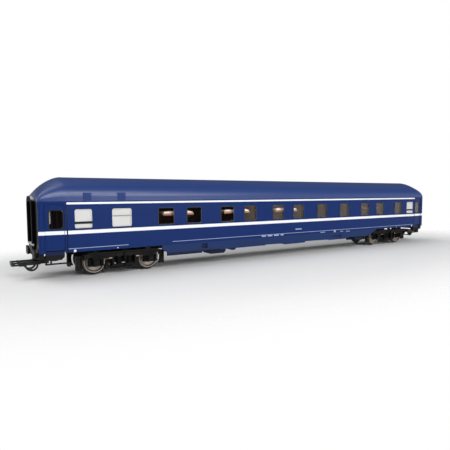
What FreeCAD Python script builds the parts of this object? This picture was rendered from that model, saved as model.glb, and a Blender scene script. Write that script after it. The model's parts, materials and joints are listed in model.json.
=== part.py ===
"""Model of a domed-roof sleeping coach at 1:87, as an assembly of its separate pieces.

Millimetres. +X runs along the coach, the right side is at -Y, +Z is up, and Z = 0 is the plane that the
wheel flanges touch. The origin is at the middle of the coach on that plane.
"""
import FreeCAD, Part
import math
import os
import re

import Sketcher

# Driving sizes: name, value, what it is. Angles are in degrees.
SIZES = (
    ("body_length", 300.0, "over the two end walls"),
    ("body_half_width", 16.3, "middle of the coach to the outside of a side wall"),
    ("taper_length", 12.3, "length of the drawn-in part at each end"),
    ("taper_depth", 0.9, "how far each side is drawn in at the end wall"),
    ("side_bottom", 13.3, "lower edge of the side walls"),
    ("side_top", 37.4, "upper edge of the side walls, where the roof sits"),
    ("wall", 1.1, "side and end wall thickness"),
    ("fit", 0.08, "gap around a piece set into another"),
    ("roof_rise", 11.77, "roof height over the side walls"),
    ("roof_strip", 2.27, "upright strip at the roof's lower edge"),
    ("roof_shoulder", 6.5, "radius of the roof's shoulder"),
    ("roof_wall", 1.0, "roof thickness"),
    ("dome_length", 14.0, "length over which the roof comes down at each end"),
    ("dome_end", 0.16, "share of the roof's height that is left at the end wall"),
    ("dome_curve", 1.5, "how fast the roof comes down, where 1 is an ellipse"),
    ("window_width", 9.6, "clear window aperture"),
    ("window_height", 9.3, "window aperture"),
    ("window_bottom", 24.3, "lower edge of the windows"),
    ("window_corner", 1.1, "corner radius of the windows"),
    ("frosted_width", 8.2, "washroom window aperture"),
    ("wide_frosted_width", 10.1, "larger washroom window aperture"),
    ("pane_corner", 0.5, "corner radius of a window pane"),
    ("frosted_bar", 27.1, "height of the bar in a washroom window"),
    ("frosted_bar_width", 1.0, "bar in a washroom window"),
    ("wide_bar", 29.9, "height of the bar in a larger washroom window"),
    ("wide_bar_width", 0.4, "bar in a larger washroom window"),
    ("frame_width", 0.4, "width of a window frame's rim"),
    ("frame_proud", 0.12, "how far a window frame stands out of the wall"),
    ("glass_inset", 0.2, "how far the glass stands back from the wall's face"),
    ("strip_thickness", 0.8, "glazing strip behind the wall"),
    ("strip_margin", 1.4, "how far the glazing strip overlaps the wall round the windows"),
    ("door_from_end", 7.2, "middle of a side door from the end wall"),
    ("door_width", 8.6, "side door opening"),
    ("door_top", 36.1, "upper edge of the side door opening"),
    ("door_sill", 14.5, "lower edge of the side door"),
    ("door_inset", 0.35, "how far the door stands back from the side wall"),
    ("door_window_width", 6.0, "window in a side door"),
    ("door_window_shift", 0.6, "a door's window from the door's middle, towards the middle of the coach"),
    ("door_window_bottom", 24.7, "lower edge of a door's window"),
    ("door_window_height", 8.4, "window in a side door"),
    ("end_door_half_width", 4.4, "end door opening"),
    ("end_door_top", 35.6, "upper edge of the end door opening"),
    ("end_door_thickness", 0.75, "end door"),
    ("end_window_half", 2.2, "half width of the window in an end door"),
    ("gangway_half_width", 7.8, "outside of the gangway tubes"),
    ("gangway_top", 40.0, "highest point of the gangway tubes"),
    ("gangway_tube", 2.6, "thickness of the gangway tubes across the opening"),
    ("gangway_corner", 4.2, "outer corner radius of the gangway tubes"),
    ("gangway_rear", 0.8, "depth of the rear gangway tube along the coach"),
    ("gangway_front", 0.7, "depth of the front gangway tube along the coach"),
    ("gangway_step", 0.5, "how much smaller the rear tube is than the front one"),
    ("gangway_floor", 17.5, "top of the gangway footplate"),
    ("gangway_foot", 14.8, "lower end of the rear gangway tube"),
    ("bracket_tip", 12.9, "lowest point of the bracket under a gangway footplate"),
    ("bracket_half_width", 3.0, "bracket under a gangway footplate, across the coach"),
    ("bracket_back", 0.4, "bracket behind the footplate's front edge"),
    ("footplate", 0.9, "thickness of the gangway footplate"),
    ("underframe_bottom", 13.9, "lower face of the underframe plate"),
    ("underframe_plate", 1.4, "thickness of the underframe plate"),
    ("boss_radius", 3.6, "boss under the underframe that a bogie bears against"),
    ("headstock_bottom", 10.6, "lower edge of the headstock"),
    ("headstock_depth", 2.4, "headstock along the coach"),
    ("headstock_half_width", 14.4, "headstock across the coach"),
    ("buffer_spacing", 20.1, "between the two buffers' middles"),
    ("buffer_height", 12.9, "height of the buffers' middles"),
    ("buffer_width", 6.8, "buffer head"),
    ("buffer_tall", 4.2, "buffer head"),
    ("buffer_head", 0.8, "thickness of a buffer head"),
    ("buffer_corner", 1.3, "corner radius of a buffer head"),
    ("buffer_reach", 1.7, "how far the buffer faces stand out of the end wall"),
    ("buffer_stem", 1.2, "radius of a buffer's stem"),
    ("skirt_thickness", 1.0, "side skirts"),
    ("skirt_low", 7.4, "lower edge of the deep part of the skirt"),
    ("skirt_mid", 8.4, "lower edge of the skirt"),
    ("floor_thickness", 0.8, "interior floor"),
    ("partition_place", 5.6, "corridor partition, from the middle of the coach"),
    ("partition", 0.8, "thickness of the inside walls"),
    ("inside_top", 36.6, "upper edge of the inside walls"),
    ("berth_width", 8.8, "a berth along the coach"),
    ("lower_berth", 4.2, "height of a lower berth over the floor"),
    ("upper_berth", 28.9, "lower face of an upper berth"),
    ("berth_thickness", 1.3, "upper berth"),
    ("flange_height", 1.1, "wheel flange over the tread"),
    ("tread_radius", 5.5, "wheel tread"),
    ("wheel_width", 2.8, "wheel, flange included"),
    ("flange_width", 0.8, "flange"),
    ("back_to_back", 14.4, "between the two wheels of an axle"),
    ("axle_radius", 0.9, "axle shaft"),
    ("journal_radius", 0.5, "axle end that turns in the bogie frame"),
    ("journal_fit", 0.06, "running clearance round a journal"),
    ("axle_length", 24.8, "over the journals"),
    ("pivot_from_end", 40.8, "bogie pivot from the end wall"),
    ("wheelbase", 28.7, "between the two axles of a bogie"),
    ("bogie_inner", 11.3, "inner face of a bogie's side frame"),
    ("bogie_side", 2.4, "thickness of a bogie's side frame"),
    ("bogie_top", 11.8, "upper edge of a bogie's side beam"),
    ("bogie_low", 9.2, "lower edge of a bogie's side beam"),
    ("bogie_overhang", 5.95, "side beam past the middle of its axle"),
    ("bogie_arm", 1.1, "thickness of the side beam's drawn-in ends"),
    ("end_bracket", 2.6, "height of the bracket at each end of a side beam"),
    ("axle_box_half", 1.7, "half width of an axle box"),
    ("wing_half", 4.1, "half width of the spring seats on an axle box"),
    ("wing_drop", 1.6, "lower face of the spring seats below the axle"),
    ("wing_thickness", 0.6, "spring seats"),
    ("cover_radius", 1.3, "axle box cover"),
    ("cover_proud", 0.5, "how far axle box covers and guide arms stand out"),
    ("guide_reach", 4.6, "guide arm from the axle box towards the bogie's middle"),
    ("guide_height", 0.7, "guide arm"),
    ("cradle_half", 6.2, "half width of the cradle under the side beam"),
    ("cradle_bar", 0.8, "hanger bars of the cradle"),
    ("cradle_low", 4.3, "lower face of the cradle"),
    ("cradle_plank", 0.9, "plank that the large springs stand on"),
    ("axle_spring_place", 2.9, "small springs from the middle of the axle"),
    ("axle_spring_radius", 0.75, "small springs, without the bulge of their coils"),
    ("large_spring_place", 2.7, "large springs from the bogie's middle"),
    ("large_spring_radius", 1.3, "large springs, without the bulge of their coils"),
    ("coil_bulge", 0.25, "how far the coils stand out of a spring's body"),
    ("damper_radius", 0.55, "upright damper on a side frame"),
    ("rail_brake_height", 1.7, "rail brake bar"),
    ("rail_brake_width", 1.8, "rail brake bar"),
    ("block_gap", 0.45, "brake blocks from the wheel's tread and flange"),
    ("block_width", 1.8, "brake blocks"),
    ("block_drop", 3.6, "lower end of a brake block below the axle"),
    ("block_rise", 1.0, "upper end of a brake block over the side beam's lower edge"),
    ("block_back", 7.2, "back of a brake block between the axles, from the middle of its axle"),
    ("end_block_back", 9.2, "back of a brake block at the bogie's ends, from the middle of its axle"),
    ("brake_disc_radius", 3.4, "brake discs on the axles"),
    ("brake_disc_place", 3.6, "brake discs from the middle of the axle"),
    ("brake_disc", 0.9, "thickness of a brake disc"),
    ("bolster_top", 11.2, "upper face of a bogie's cross beam"),
    ("bolster_half", 5.4, "half length of a bogie's cross beam"),
    ("bolster_thickness", 1.6, "a bogie's cross beam"),
    ("keel_place", 5.4, "inner face of the long plates under the cross beam"),
    ("keel_thickness", 1.0, "long plates under the cross beam"),
    ("keel_low", 4.8, "lower edge of the long plates"),
    ("bearing_gap", 0.12, "running gap between a bogie and the underframe's boss"),
    ("pin_radius", 1.3, "bogie pivot pin"),
    ("pin_fit", 0.08, "running clearance round the pivot pins"),
    ("pin_head", 2.3, "radius of a pivot pin's head"),
    ("coupler_pivot_back", 9.4, "coupler link pivot behind the end wall"),
    ("coupler_height", 7.7, "middle height of the coupler's shank"),
    ("coupler_reach", 10.3, "front of the coupler past the end wall"),
    ("coupler_half_width", 3.8, "outside of the coupler's loop"),
    ("loop_thickness", 0.8, "arms and bars of the coupler's loop"),
    ("loop_pivot_back", 1.4, "loop hinge behind the end wall"),
    ("loop_pin", 0.45, "radius of the loop's hinge pins"),
    ("link_thickness", 1.3, "coupler link"),
    ("shank_half", 0.75, "half thickness of the coupler head's shank"),
    ("coupler_pin_radius", 0.9, "pin that the coupler link swings on"),
    ("skid_radius", 3.0, "outer radius of the loop's half-round skid"),
    ("step_bottom", 9.8, "lower face of the step well under a side door"),
    ("step_top", 12.1, "upper face of the step well, where the panel under the door ends"),
    ("step_slant", 1.4, "slanted corner of the step well"),
    ("step_inset", 1.3, "how far the panel under the door stands back from the side wall"),
    ("footstep_height", 8.1, "top of the lower footstep"),
    ("footstep_thickness", 0.4, "lower footstep"),
    ("footstep_width", 2.4, "lower footstep across the coach"),
    ("groove", 0.2, "width and depth of the grooves in the corner posts"),
    ("groove_back", 0.8, "first groove of a corner post behind the end wall"),
    ("groove_step", 1.7, "between the two grooves of a corner post"),
    ("hatch_angle", 15.4, "how far a roof hatch reaches round the roof's shoulder, in degrees"),
    ("tank_radius", 2.3, "air tanks under the floor"),
    ("tank_drop", 0.7, "gap between an air tank and the floor, bridged by its saddles"),
    ("equipment_inner", 6.2, "inner side of the equipment boxes from the middle of the coach"),
    ("beam_height", 1.4, "long beams under the floor"),
    ("beam_place", 4.4, "middle of a long beam from the middle of the coach"),
    ("beam_width", 1.0, "long beams under the floor"),
)

# Places in the tables below are for a body of this length, and move with the sheet's own length.
TABLE_LENGTH = 300
# Windows of the right side: middle along the coach, kind.
RIGHT_WINDOWS = (
    (-129.9, "frosted"), (-111.0, "wide frosted"), (-86.7, "clear"), (-69.7, "clear"), (-47.6, "clear"),
    (-30.8, "clear"), (-8.9, "clear"), (8.6, "clear"), (30.2, "clear"), (52.7, "clear"), (75.1, "clear"),
    (92.7, "clear"), (115.3, "clear"), (130.7, "frosted"),
)
# Two windows nearer than this have berths on both sides of the wall between them.
PAIR_SPACING = 20.0
# The corridor side has evenly spaced windows, and one washroom window near each end.
LEFT_SPACING = 22.4
LEFT_WINDOWS = ((-130.7, "frosted"),) + tuple(
    (LEFT_SPACING * step, "clear") for step in range(-5, 6)) + ((130.7, "frosted"),)
# Aperture of each kind of window, and the height and width of its bar if it has one.
WINDOW_WIDTH = {
    "clear": "window_width",
    "frosted": "frosted_width",
    "wide frosted": "wide_frosted_width",
}
WINDOW_BAR = {
    "frosted": ("frosted_bar", "frosted_bar_width"),
    "wide frosted": ("wide_bar", "wide_bar_width"),
}

# Lower outline of a side skirt from its left end: place along the coach, height.
SKIRT_EDGE = (
    (-89.2, "11.1"), (-86.2, "9.2"), (-86.2, "skirt_low"), (-65, "skirt_low"), (-64.6, "skirt_mid"),
    (-19.6, "skirt_mid"), (-19.2, "skirt_mid + 0.4"), (-3.4, "skirt_mid + 0.2"), (-3.0, "skirt_mid - 0.5"),
    (14.2, "skirt_mid - 0.4"), (14.8, "skirt_mid + 0.4"), (35, "skirt_mid + 0.1"), (38, "skirt_mid - 0.3"),
    (55, "skirt_mid - 0.3"), (58, "skirt_mid + 0.5"), (80, "skirt_mid + 0.5"), (88.6, "12.7"),
)
# Recesses in a skirt: left end, right end, lower and upper edge.
SKIRT_RECESSES = ((-65.0, -61.3, 9.9, 12.7), (41.5, 49.5, 9.6, 11.4))
# Equipment boxes behind each skirt: left end, right end, lower face.
EQUIPMENT = ((-59.3, -48.0, 6.0), (-44.6, -40.2, 7.2), (-2.6, 13.8, 7.7))
# Equipment box beside the right bogie: how far its two ends are from the bogie's pivot, and its lower face.
BOGIE_BOX = (43.2, 34.2, 6.0)
# Air tanks along the middle of the floor: left end, right end.
AIR_TANKS = ((-36.0, -16.0), (24.0, 50.0))
# Roof hatches by the washrooms: middle along the coach, width.
HATCHES = ((-127.9, 4.0), (-111.1, 4.2))

NODES = []
DOC = FreeCAD.newDocument("coach")
SHEET = DOC.addObject("Spreadsheet::Sheet", "sizes")
for row, (alias, value, meaning) in enumerate(SIZES, start=1):
    SHEET.set(f"A{row}", alias)
    SHEET.set(f"B{row}", str(value))
    SHEET.set(f"C{row}", meaning)
    SHEET.setAlias(f"B{row}", alias)
DOC.recompute()
ALIASES = {alias for alias, _, _ in SIZES}


# Places that follow from the sheet.
PLACES = {
    "half_length": "(body_length / 2)",
    "taper_start": "(body_length / 2 - taper_length)",
    "window_top": "(window_bottom + window_height)",
    "axle_height": "(tread_radius + flange_height)",
    "wheel_radius": "(tread_radius + flange_height)",
    "door_place": "(body_length / 2 - door_from_end)",
    "door_window_place": "(body_length / 2 - door_from_end - door_window_shift)",
    "pivot_place": "(body_length / 2 - pivot_from_end)",
    "coupler_pivot": "(body_length / 2 - coupler_pivot_back)",
    "coupler_tip": "(body_length / 2 + coupler_reach)",
    "loop_pivot": "(body_length / 2 - loop_pivot_back)",
    "inside_floor": "(underframe_bottom + underframe_plate)",
    "room_floor": "(underframe_bottom + underframe_plate + floor_thickness)",
    "inside_half": "(body_half_width - wall - strip_thickness - 0.5)",
    "side_frame_face": "(bogie_inner + bogie_side)",
    "wing_top": "(tread_radius + flange_height - wing_drop + wing_thickness)",
}


def bound(expression):
    """Expression with each place written out and each sheet name given its sheet, as the objects need it."""
    expression = re.sub(r"[a-z_]+", lambda word: PLACES.get(word[0], word[0]), str(expression))
    return re.sub(r"[a-z_]+", lambda word: "sizes." + word[0] if word[0] in ALIASES else word[0], expression)


def along(place):
    """Expression of a place from the tables, in proportion to the body's length."""
    return f"({place} * body_length / {TABLE_LENGTH})"


def size(expression):
    """Value of an expression of sheet names."""
    return float(SHEET.evalExpression(bound(expression)))


# ---- sketches and features -------------------------------------------------------------------------------


def new_body(label, node=True):
    """A PartDesign body, which becomes a node of the assembly unless it only serves another object."""
    body = DOC.addObject("PartDesign::Body", label)
    body.Label = label
    if node:
        NODES.append(body)
    return body


def origin_plane(body, role):
    """One of a body's own three origin planes."""
    return next(feature for feature in body.Origin.OriginFeatures if feature.Role == role)


def new_sketch(body, role, height="0", shift="0"):
    """Sketch on one of the body's origin planes, moved along the plane's normal and along its own x.

    XY_Plane: sketch x, y are X, Y and height is +Z. XZ_Plane: X, Z and -Y. YZ_Plane: Y, Z and +X.
    """
    sketch = body.newObject("Sketcher::SketchObject", body.Name + "_sketch")
    sketch.AttachmentSupport = [(origin_plane(body, role), "")]
    sketch.MapMode = "FlatFace"
    sketch.setExpression("AttachmentOffset.Base.z", bound(height))
    sketch.setExpression("AttachmentOffset.Base.x", bound(shift))
    return sketch


def arc_between(start, end, radius):
    """Arc from start to end, turning left when the radius is positive and right when it is negative."""
    chord = end - start
    reach = math.sqrt(max(radius * radius - chord.Length ** 2 / 4, 0.0))
    normal = FreeCAD.Vector(-chord.y, chord.x, 0).normalize()
    centre = start + chord * 0.5 + normal * math.copysign(reach, radius)
    from_angle = math.atan2(start.y - centre.y, start.x - centre.x)
    to_angle = math.atan2(end.y - centre.y, end.x - centre.x)
    if radius < 0:
        from_angle, to_angle = to_angle, from_angle
    circle = Part.Circle(centre, FreeCAD.Vector(0, 0, 1), abs(radius))
    return Part.ArcOfCircle(circle, from_angle, to_angle)


def add_loop(sketch, corners):
    """Closed loop of lines and arcs. A corner is (x, y) or (x, y, radius of the arc that leaves it).

    Every corner is held from the sketch's origin by the expressions given, so the loop follows the sheet.
    """
    corners = [corner if len(corner) == 3 else (*corner, None) for corner in corners]
    places = [FreeCAD.Vector(size(x), size(y), 0) for x, y, _ in corners]
    first = sketch.GeometryCount
    geometry = []
    starts, ends = [], []
    for index, (_, _, radius) in enumerate(corners):
        start, end = places[index], places[(index + 1) % len(places)]
        if radius is None:
            geometry.append(Part.LineSegment(start, end))
        else:
            geometry.append(arc_between(start, end, size(radius)))
        flipped = radius is not None and size(radius) < 0
        starts.append((first + index, 2 if flipped else 1))
        ends.append((first + index, 1 if flipped else 2))
    sketch.addGeometry(geometry, False)
    constraints, expressions = [], []
    for index, (x, y, radius) in enumerate(corners):
        constraints.append(Sketcher.Constraint("Coincident", *ends[index - 1], *starts[index]))
        for kind, expression in (("DistanceX", x), ("DistanceY", y)):
            expressions.append((len(constraints), expression))
            constraints.append(Sketcher.Constraint(kind, -1, 1, *starts[index], size(expression)))
        if radius is not None:
            expressions.append((len(constraints), f"abs({radius})"))
            constraints.append(Sketcher.Constraint("Radius", first + index, abs(size(radius))))
    base = sketch.ConstraintCount
    sketch.addConstraint(constraints)
    for offset, expression in expressions:
        if re.search("[a-z]", expression.replace("abs", "")):
            sketch.setExpression(f"Constraints[{base + offset}]", bound(expression))


def add_rectangle(sketch, left, right, low, high, corner=None):
    """Rectangle between four expressions, with rounded corners when a corner radius is given."""
    if corner is None:
        add_loop(sketch, [(left, low), (right, low), (right, high), (left, high)])
        return
    add_loop(sketch, [
        (f"{left} + {corner}", low), (f"{right} - ({corner})", low, corner),
        (right, f"{low} + {corner}"), (right, f"{high} - ({corner})", corner),
        (f"{right} - ({corner})", high), (f"{left} + {corner}", high, corner),
        (left, f"{high} - ({corner})"), (left, f"{low} + {corner}", corner)])


def add_circle(sketch, x, y, radius):
    """Circle held by its middle and its radius."""
    index = sketch.addGeometry(Part.Circle(FreeCAD.Vector(size(x), size(y), 0), FreeCAD.Vector(0, 0, 1),
                                           size(radius)), False)
    for kind, expression in (("DistanceX", x), ("DistanceY", y)):
        held = sketch.addConstraint(Sketcher.Constraint(kind, -1, 1, index, 3, size(expression)))
        if re.search("[a-z]", expression):
            sketch.setExpression(f"Constraints[{held}]", bound(expression))
    held = sketch.addConstraint(Sketcher.Constraint("Radius", index, size(radius)))
    sketch.setExpression(f"Constraints[{held}]", bound(radius))


def pad(body, sketch, length, midplane=False, backwards=False):
    """Pad along the sketch's normal, backwards along it, or half each way."""
    feature = body.newObject("PartDesign::Pad", body.Name + "_pad")
    feature.Profile = sketch
    feature.setExpression("Length", bound(length))
    feature.Midplane = midplane
    feature.Reversed = backwards
    DOC.recompute()
    return feature


def cut(body, sketch, length, midplane=False, backwards=False):
    """Pocket against the sketch's normal, or along it when backwards. It must take material away."""
    before = body.Shape.Volume
    feature = body.newObject("PartDesign::Pocket", body.Name + "_pocket")
    feature.Profile = sketch
    feature.setExpression("Length", bound(length))
    feature.Midplane = midplane
    feature.Reversed = backwards
    DOC.recompute()
    if not body.Shape.Volume < before - 1e-6:
        raise ValueError(f"a pocket of {body.Label} cuts nothing")
    return feature


def turn(body, sketch, axis):
    """Full revolution about the sketch's H_Axis or V_Axis."""
    feature = body.newObject("PartDesign::Revolution", body.Name + "_turned")
    feature.Profile = sketch
    feature.ReferenceAxis = (sketch, [axis])
    feature.Angle = 360
    DOC.recompute()
    return feature


def loft(body, sketches, additive=True):
    """Smooth loft through sketches in order."""
    kind = "AdditiveLoft" if additive else "SubtractiveLoft"
    feature = body.newObject("PartDesign::" + kind, body.Name + "_loft")
    feature.Profile = sketches[0]
    feature.Sections = sketches[1:]
    feature.Ruled = False
    DOC.recompute()
    return feature


def mirror(body, features, role):
    """Mirror features across one of the body's origin planes."""
    feature = body.newObject("PartDesign::Mirrored", body.Name + "_mirrored")
    feature.Originals = features
    feature.MirrorPlane = (origin_plane(body, role), [""])
    body.Tip = feature
    DOC.recompute()
    return feature


def mirrored_copy(label, source, normal, node=True):
    """Copy of an object across the middle plane that has this normal."""
    copy = DOC.addObject("Part::Mirroring", label)
    copy.Label = label
    copy.Source = source
    copy.Normal = FreeCAD.Vector(*normal)
    if node:
        NODES.append(copy)
    return copy


def gather(label, pieces):
    """One node of several separate like pieces."""
    group = DOC.addObject("Part::Compound", label)
    group.Label = label
    group.Links = pieces
    NODES.append(group)
    return group


ACROSS, ALONG = (0, 1, 0), (1, 0, 0)


def at_both_ends(label, source):
    """Node of a piece at the +X end and its mirror at the other end."""
    return gather(label, [source, mirrored_copy(label + "_other_end", source, ALONG, node=False)])


def at_four_corners(label, source):
    """Node of a piece at +X, -Y and its three mirrors."""
    side = mirrored_copy(label + "_other_side", source, ACROSS, node=False)
    ends = [mirrored_copy(label + "_other_end", source, ALONG, node=False),
            mirrored_copy(label + "_far_corner", side, ALONG, node=False)]
    return gather(label, [source, side] + ends)


# ---- outlines that several pieces share ------------------------------------------------------------------

def side_at(place):
    """Half width of the body at a place along it between the taper's start and the end wall."""
    return f"(body_half_width - taper_depth * ({place} - taper_start) / taper_length)"


def plan_corners(inset):
    """Plan outline of the body, set in from its outside: eight corners with both ends drawn in."""
    end, wide = f"(half_length - ({inset}))", f"(body_half_width - ({inset}))"
    narrow = f"(body_half_width - taper_depth - ({inset}))"
    quarter = [(end, f"-{narrow}"), (end, narrow), ("taper_start", wide)]
    return quarter + [("-taper_start", wide), (f"-{end}", narrow), (f"-{end}", f"-{narrow}"),
                      ("-taper_start", f"-{wide}"), ("taper_start", f"-{wide}")]


def roof_corners(half_width, share, inset):
    """Roof section: upright strip, shoulder arc, crown arc and back, with its heights at a share."""
    wide = f"({half_width} - {inset})"
    strip = f"(roof_strip * {share})"
    rise = f"((roof_rise - roof_strip) * {share} - {inset})"
    shoulder = f"((roof_shoulder - {inset}) * {share})"
    crown = f"((({wide} - {shoulder})^2 + {rise}^2 - {shoulder}^2) / (2 * ({rise} - {shoulder})))"
    spring = f"(side_top + {strip})"
    across = f"({crown} * ({wide} - {shoulder}) / ({crown} - {shoulder}))"
    up = f"({spring} + {rise} - {crown} + {crown} * ({crown} - {rise}) / ({crown} - {shoulder}))"
    return [(f"-{wide}", "side_top"), (wide, "side_top"), (wide, spring, shoulder), (across, up, crown),
            (f"-{across}", up, shoulder), (f"-{wide}", spring)]


# ---- body ------------------------------------------------------------------------------------------------


def window_table(side):
    """Windows of one side with the width of each: middle, aperture expression, kind."""
    rows = RIGHT_WINDOWS if side == "right" else LEFT_WINDOWS
    return [(along(middle), WINDOW_WIDTH[kind], kind) for middle, kind in rows]


def side_sketch(body, side, out):
    """Upright sketch parallel to a side wall, at a distance from the middle of the coach."""
    return new_sketch(body, "XZ_Plane", out if side == "right" else f"-({out})")


def make_body_shell():
    """Side and end walls in one hollow moulding with its window, door and gangway apertures."""
    body = new_body("body_shell")
    walls = new_sketch(body, "XY_Plane", "side_bottom")
    add_loop(walls, plan_corners("0"))
    add_loop(walls, plan_corners("wall"))
    pad(body, walls, "side_top - side_bottom")
    for side in ("right", "left"):
        for middle, width, _ in window_table(side):
            opening = side_sketch(body, side, "body_half_width + 1")
            add_rectangle(opening, f"{middle} - {width} / 2", f"{middle} + {width} / 2", "window_bottom",
                          "window_top", "window_corner")
            cut(body, opening, "wall + 2", backwards=side == "left")
    doors = new_sketch(body, "XZ_Plane")
    for end in ("-", ""):
        middle = f"{end}door_place"
        add_rectangle(doors, f"{middle} - door_width / 2", f"{middle} + door_width / 2", "side_bottom - 1",
                      "door_top")
    cut(body, doors, "2 * body_half_width + 2", midplane=True)
    for side in ("right", "left"):
        posts = side_sketch(body, side, "body_half_width + 1")
        for end in ("-", ""):
            for back in ("groove_back", "(groove_back + groove_step)"):
                middle = f"{end}(half_length - {back})"
                add_rectangle(posts, f"{middle} - groove / 2", f"{middle} + groove / 2", "door_sill",
                              "door_top")
        depth = f"1 + body_half_width - {side_at('(half_length - groove_back)')} + groove"
        cut(body, posts, depth, backwards=side == "left")
    ends = new_sketch(body, "YZ_Plane")
    add_rectangle(ends, "-end_door_half_width", "end_door_half_width", "gangway_floor - footplate",
                  "end_door_top")
    cut(body, ends, "body_length + 2", midplane=True)


def make_roof():
    """Hollow domed roof: one vault, with both ends brought down over the end walls."""
    body = new_body("roof")
    for inset, additive in (("0", True), ("roof_wall", False)):
        vault = new_sketch(body, "YZ_Plane")
        add_loop(vault, roof_corners("body_half_width", "1", inset))
        length = "body_length - 2 * dome_length"
        if additive:
            pad(body, vault, length, midplane=True)
        else:
            cut(body, vault, length, midplane=True)
        sections = []
        for angle in (0, 22, 44, 66, 90):
            place = f"(half_length - {inset} - (dome_length - {inset}) * (1 - sin({angle} deg)))"
            share = f"(dome_end + (1 - dome_end) * cos({angle} deg)^dome_curve)"
            narrowing = f"(taper_depth * (1 - cos({angle} deg)))"
            section = new_sketch(body, "YZ_Plane", place)
            add_loop(section, roof_corners(f"(body_half_width - {narrowing})", share, inset))
            sections.append(section)
        dome = loft(body, sections, additive)
        mirror(body, [dome], "YZ_Plane")


def make_roof_hatches():
    """Square vent hatches on the roof's upright strip and shoulder beside the washrooms, on both sides."""
    body = new_body("roof_hatch", node=False)
    spring, centre = "(side_top + roof_strip)", "(body_half_width - roof_shoulder)"
    face, proud = "body_half_width", "(body_half_width + frame_proud)"
    outer = "(roof_shoulder + frame_proud)"
    across, up = "cos(hatch_angle * 1 deg)", "sin(hatch_angle * 1 deg)"
    for middle, width in HATCHES:
        section = new_sketch(body, "YZ_Plane", f"{along(middle)} - {width} / 2")
        add_loop(section, [
            (f"-{face}", "side_top + 0.15"), (f"-{face}", spring, "-roof_shoulder"),
            (f"-({centre} + roof_shoulder * {across})", f"{spring} + roof_shoulder * {up}"),
            (f"-({centre} + {outer} * {across})", f"{spring} + {outer} * {up}", outer),
            (f"-{proud}", spring), (f"-{proud}", "side_top + 0.15")])
        pad(body, section, str(width))
    gather("roof_hatches", [body, mirrored_copy("roof_hatch_left", body, ACROSS, node=False)])


def pane_edges(middle, width, kind):
    """Left, right and the heights of one pane, or of the two panes that a bar parts, inside a frame."""
    left, right = f"{middle} - {width} / 2 + frame_width", f"{middle} + {width} / 2 - frame_width"
    low, high = "window_bottom + frame_width", "window_top - frame_width"
    if kind not in WINDOW_BAR:
        return left, right, ((low, high),)
    bar, bar_width = WINDOW_BAR[kind]
    return left, right, ((low, f"{bar} - {bar_width} / 2"), (f"{bar} + {bar_width} / 2", high))


def make_window_frames(side):
    """Rims of a side's windows, which have a bar in the washroom windows."""
    body = new_body("window_frames_" + side)
    for middle, width, kind in window_table(side):
        rim = side_sketch(body, side, "body_half_width - wall")
        add_rectangle(rim, f"{middle} - {width} / 2 + fit", f"{middle} + {width} / 2 - fit",
                      "window_bottom + fit", "window_top - fit", "window_corner - fit")
        left, right, panes = pane_edges(middle, width, kind)
        for low, high in panes:
            add_rectangle(rim, left, right, low, high, "pane_corner")
        pad(body, rim, "wall + frame_proud", backwards=side == "left")


def make_glazing(side):
    """Clear strip behind a side wall with raised panes that fill the window frames."""
    body = new_body("glazing_" + side)
    strip = side_sketch(body, side, "body_half_width - wall")
    rows = window_table(side)
    first, last = rows[0], rows[-1]
    left = f"max({first[0]} - {first[1]} / 2 - strip_margin; -taper_start)"
    right = f"min({last[0]} + {last[1]} / 2 + strip_margin; taper_start)"
    add_rectangle(strip, left, right, "window_bottom - strip_margin", "window_top + strip_margin")
    pad(body, strip, "strip_thickness", backwards=side == "right")
    for middle, width, kind in rows:
        if kind == "clear":
            add_panes(body, side, middle, width, kind)


def add_panes(body, side, middle, width, kind):
    """Panes of one window, set inside the frame's rim."""
    glass = side_sketch(body, side, "body_half_width - wall")
    left, right, panes = pane_edges(middle, width, kind)
    for low, high in panes:
        add_rectangle(glass, f"{left} + fit", f"{right} - fit", f"{low} + fit", f"{high} - fit",
                      "(pane_corner - fit)")
    pad(body, glass, "wall - glass_inset", backwards=side == "left")


def make_frosted_panes():
    """White panes of the washroom windows, which lie on the glazing strips."""
    body = new_body("frosted_panes")
    for side in ("right", "left"):
        for middle, width, kind in window_table(side):
            if kind != "clear":
                add_panes(body, side, middle, width, kind)


def door_plan(body, height, middle, width, front_inset):
    """Plan of a piece in the side door opening, between a depth in the wall and the wall's inner face."""
    plan = new_sketch(body, "XY_Plane", height)
    near, far = f"({middle} - {width} / 2 + fit)", f"({middle} + {width} / 2 - fit)"
    outer = [(place, f"-({side_at(place)} - ({front_inset}))") for place in (near, far)]
    inner = [(place, f"-({side_at(place)} - wall)") for place in (far, near)]
    add_loop(plan, outer + inner)
    return plan


def door_window(body, margin):
    """Rounded outline of a door's window, on an upright sketch outside the side wall."""
    window = new_sketch(body, "XZ_Plane", "body_half_width + 1")
    left = f"door_window_place - door_window_width / 2 + {margin}"
    right = f"door_window_place + door_window_width / 2 - {margin}"
    add_rectangle(window, left, right, f"door_window_bottom + {margin}",
                  f"door_window_bottom + door_window_height - {margin}", f"(window_corner - {margin})")
    return window


def make_side_doors():
    """Door leaves set back into the drawn-in ends of the side walls, each with a glazed window."""
    leaf = new_body("side_door", node=False)
    outline = door_plan(leaf, "door_sill", "door_place", "door_width", "door_inset")
    pad(leaf, outline, "door_top - door_sill - fit")
    cut(leaf, door_window(leaf, "0"), "body_half_width")
    at_four_corners("side_doors", leaf)
    glass = new_body("side_door_glass", node=False)
    outline = door_plan(glass, "door_window_bottom + fit", "door_window_place", "door_window_width",
                        "door_inset + glass_inset")
    pad(glass, outline, "door_window_height - 2 * fit")
    trim = door_window(glass, "fit")
    add_rectangle(trim, "door_place - door_width", "door_place + door_width", "door_sill", "door_top")
    cut(glass, trim, "body_half_width")
    at_four_corners("side_door_windows", glass)


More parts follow.
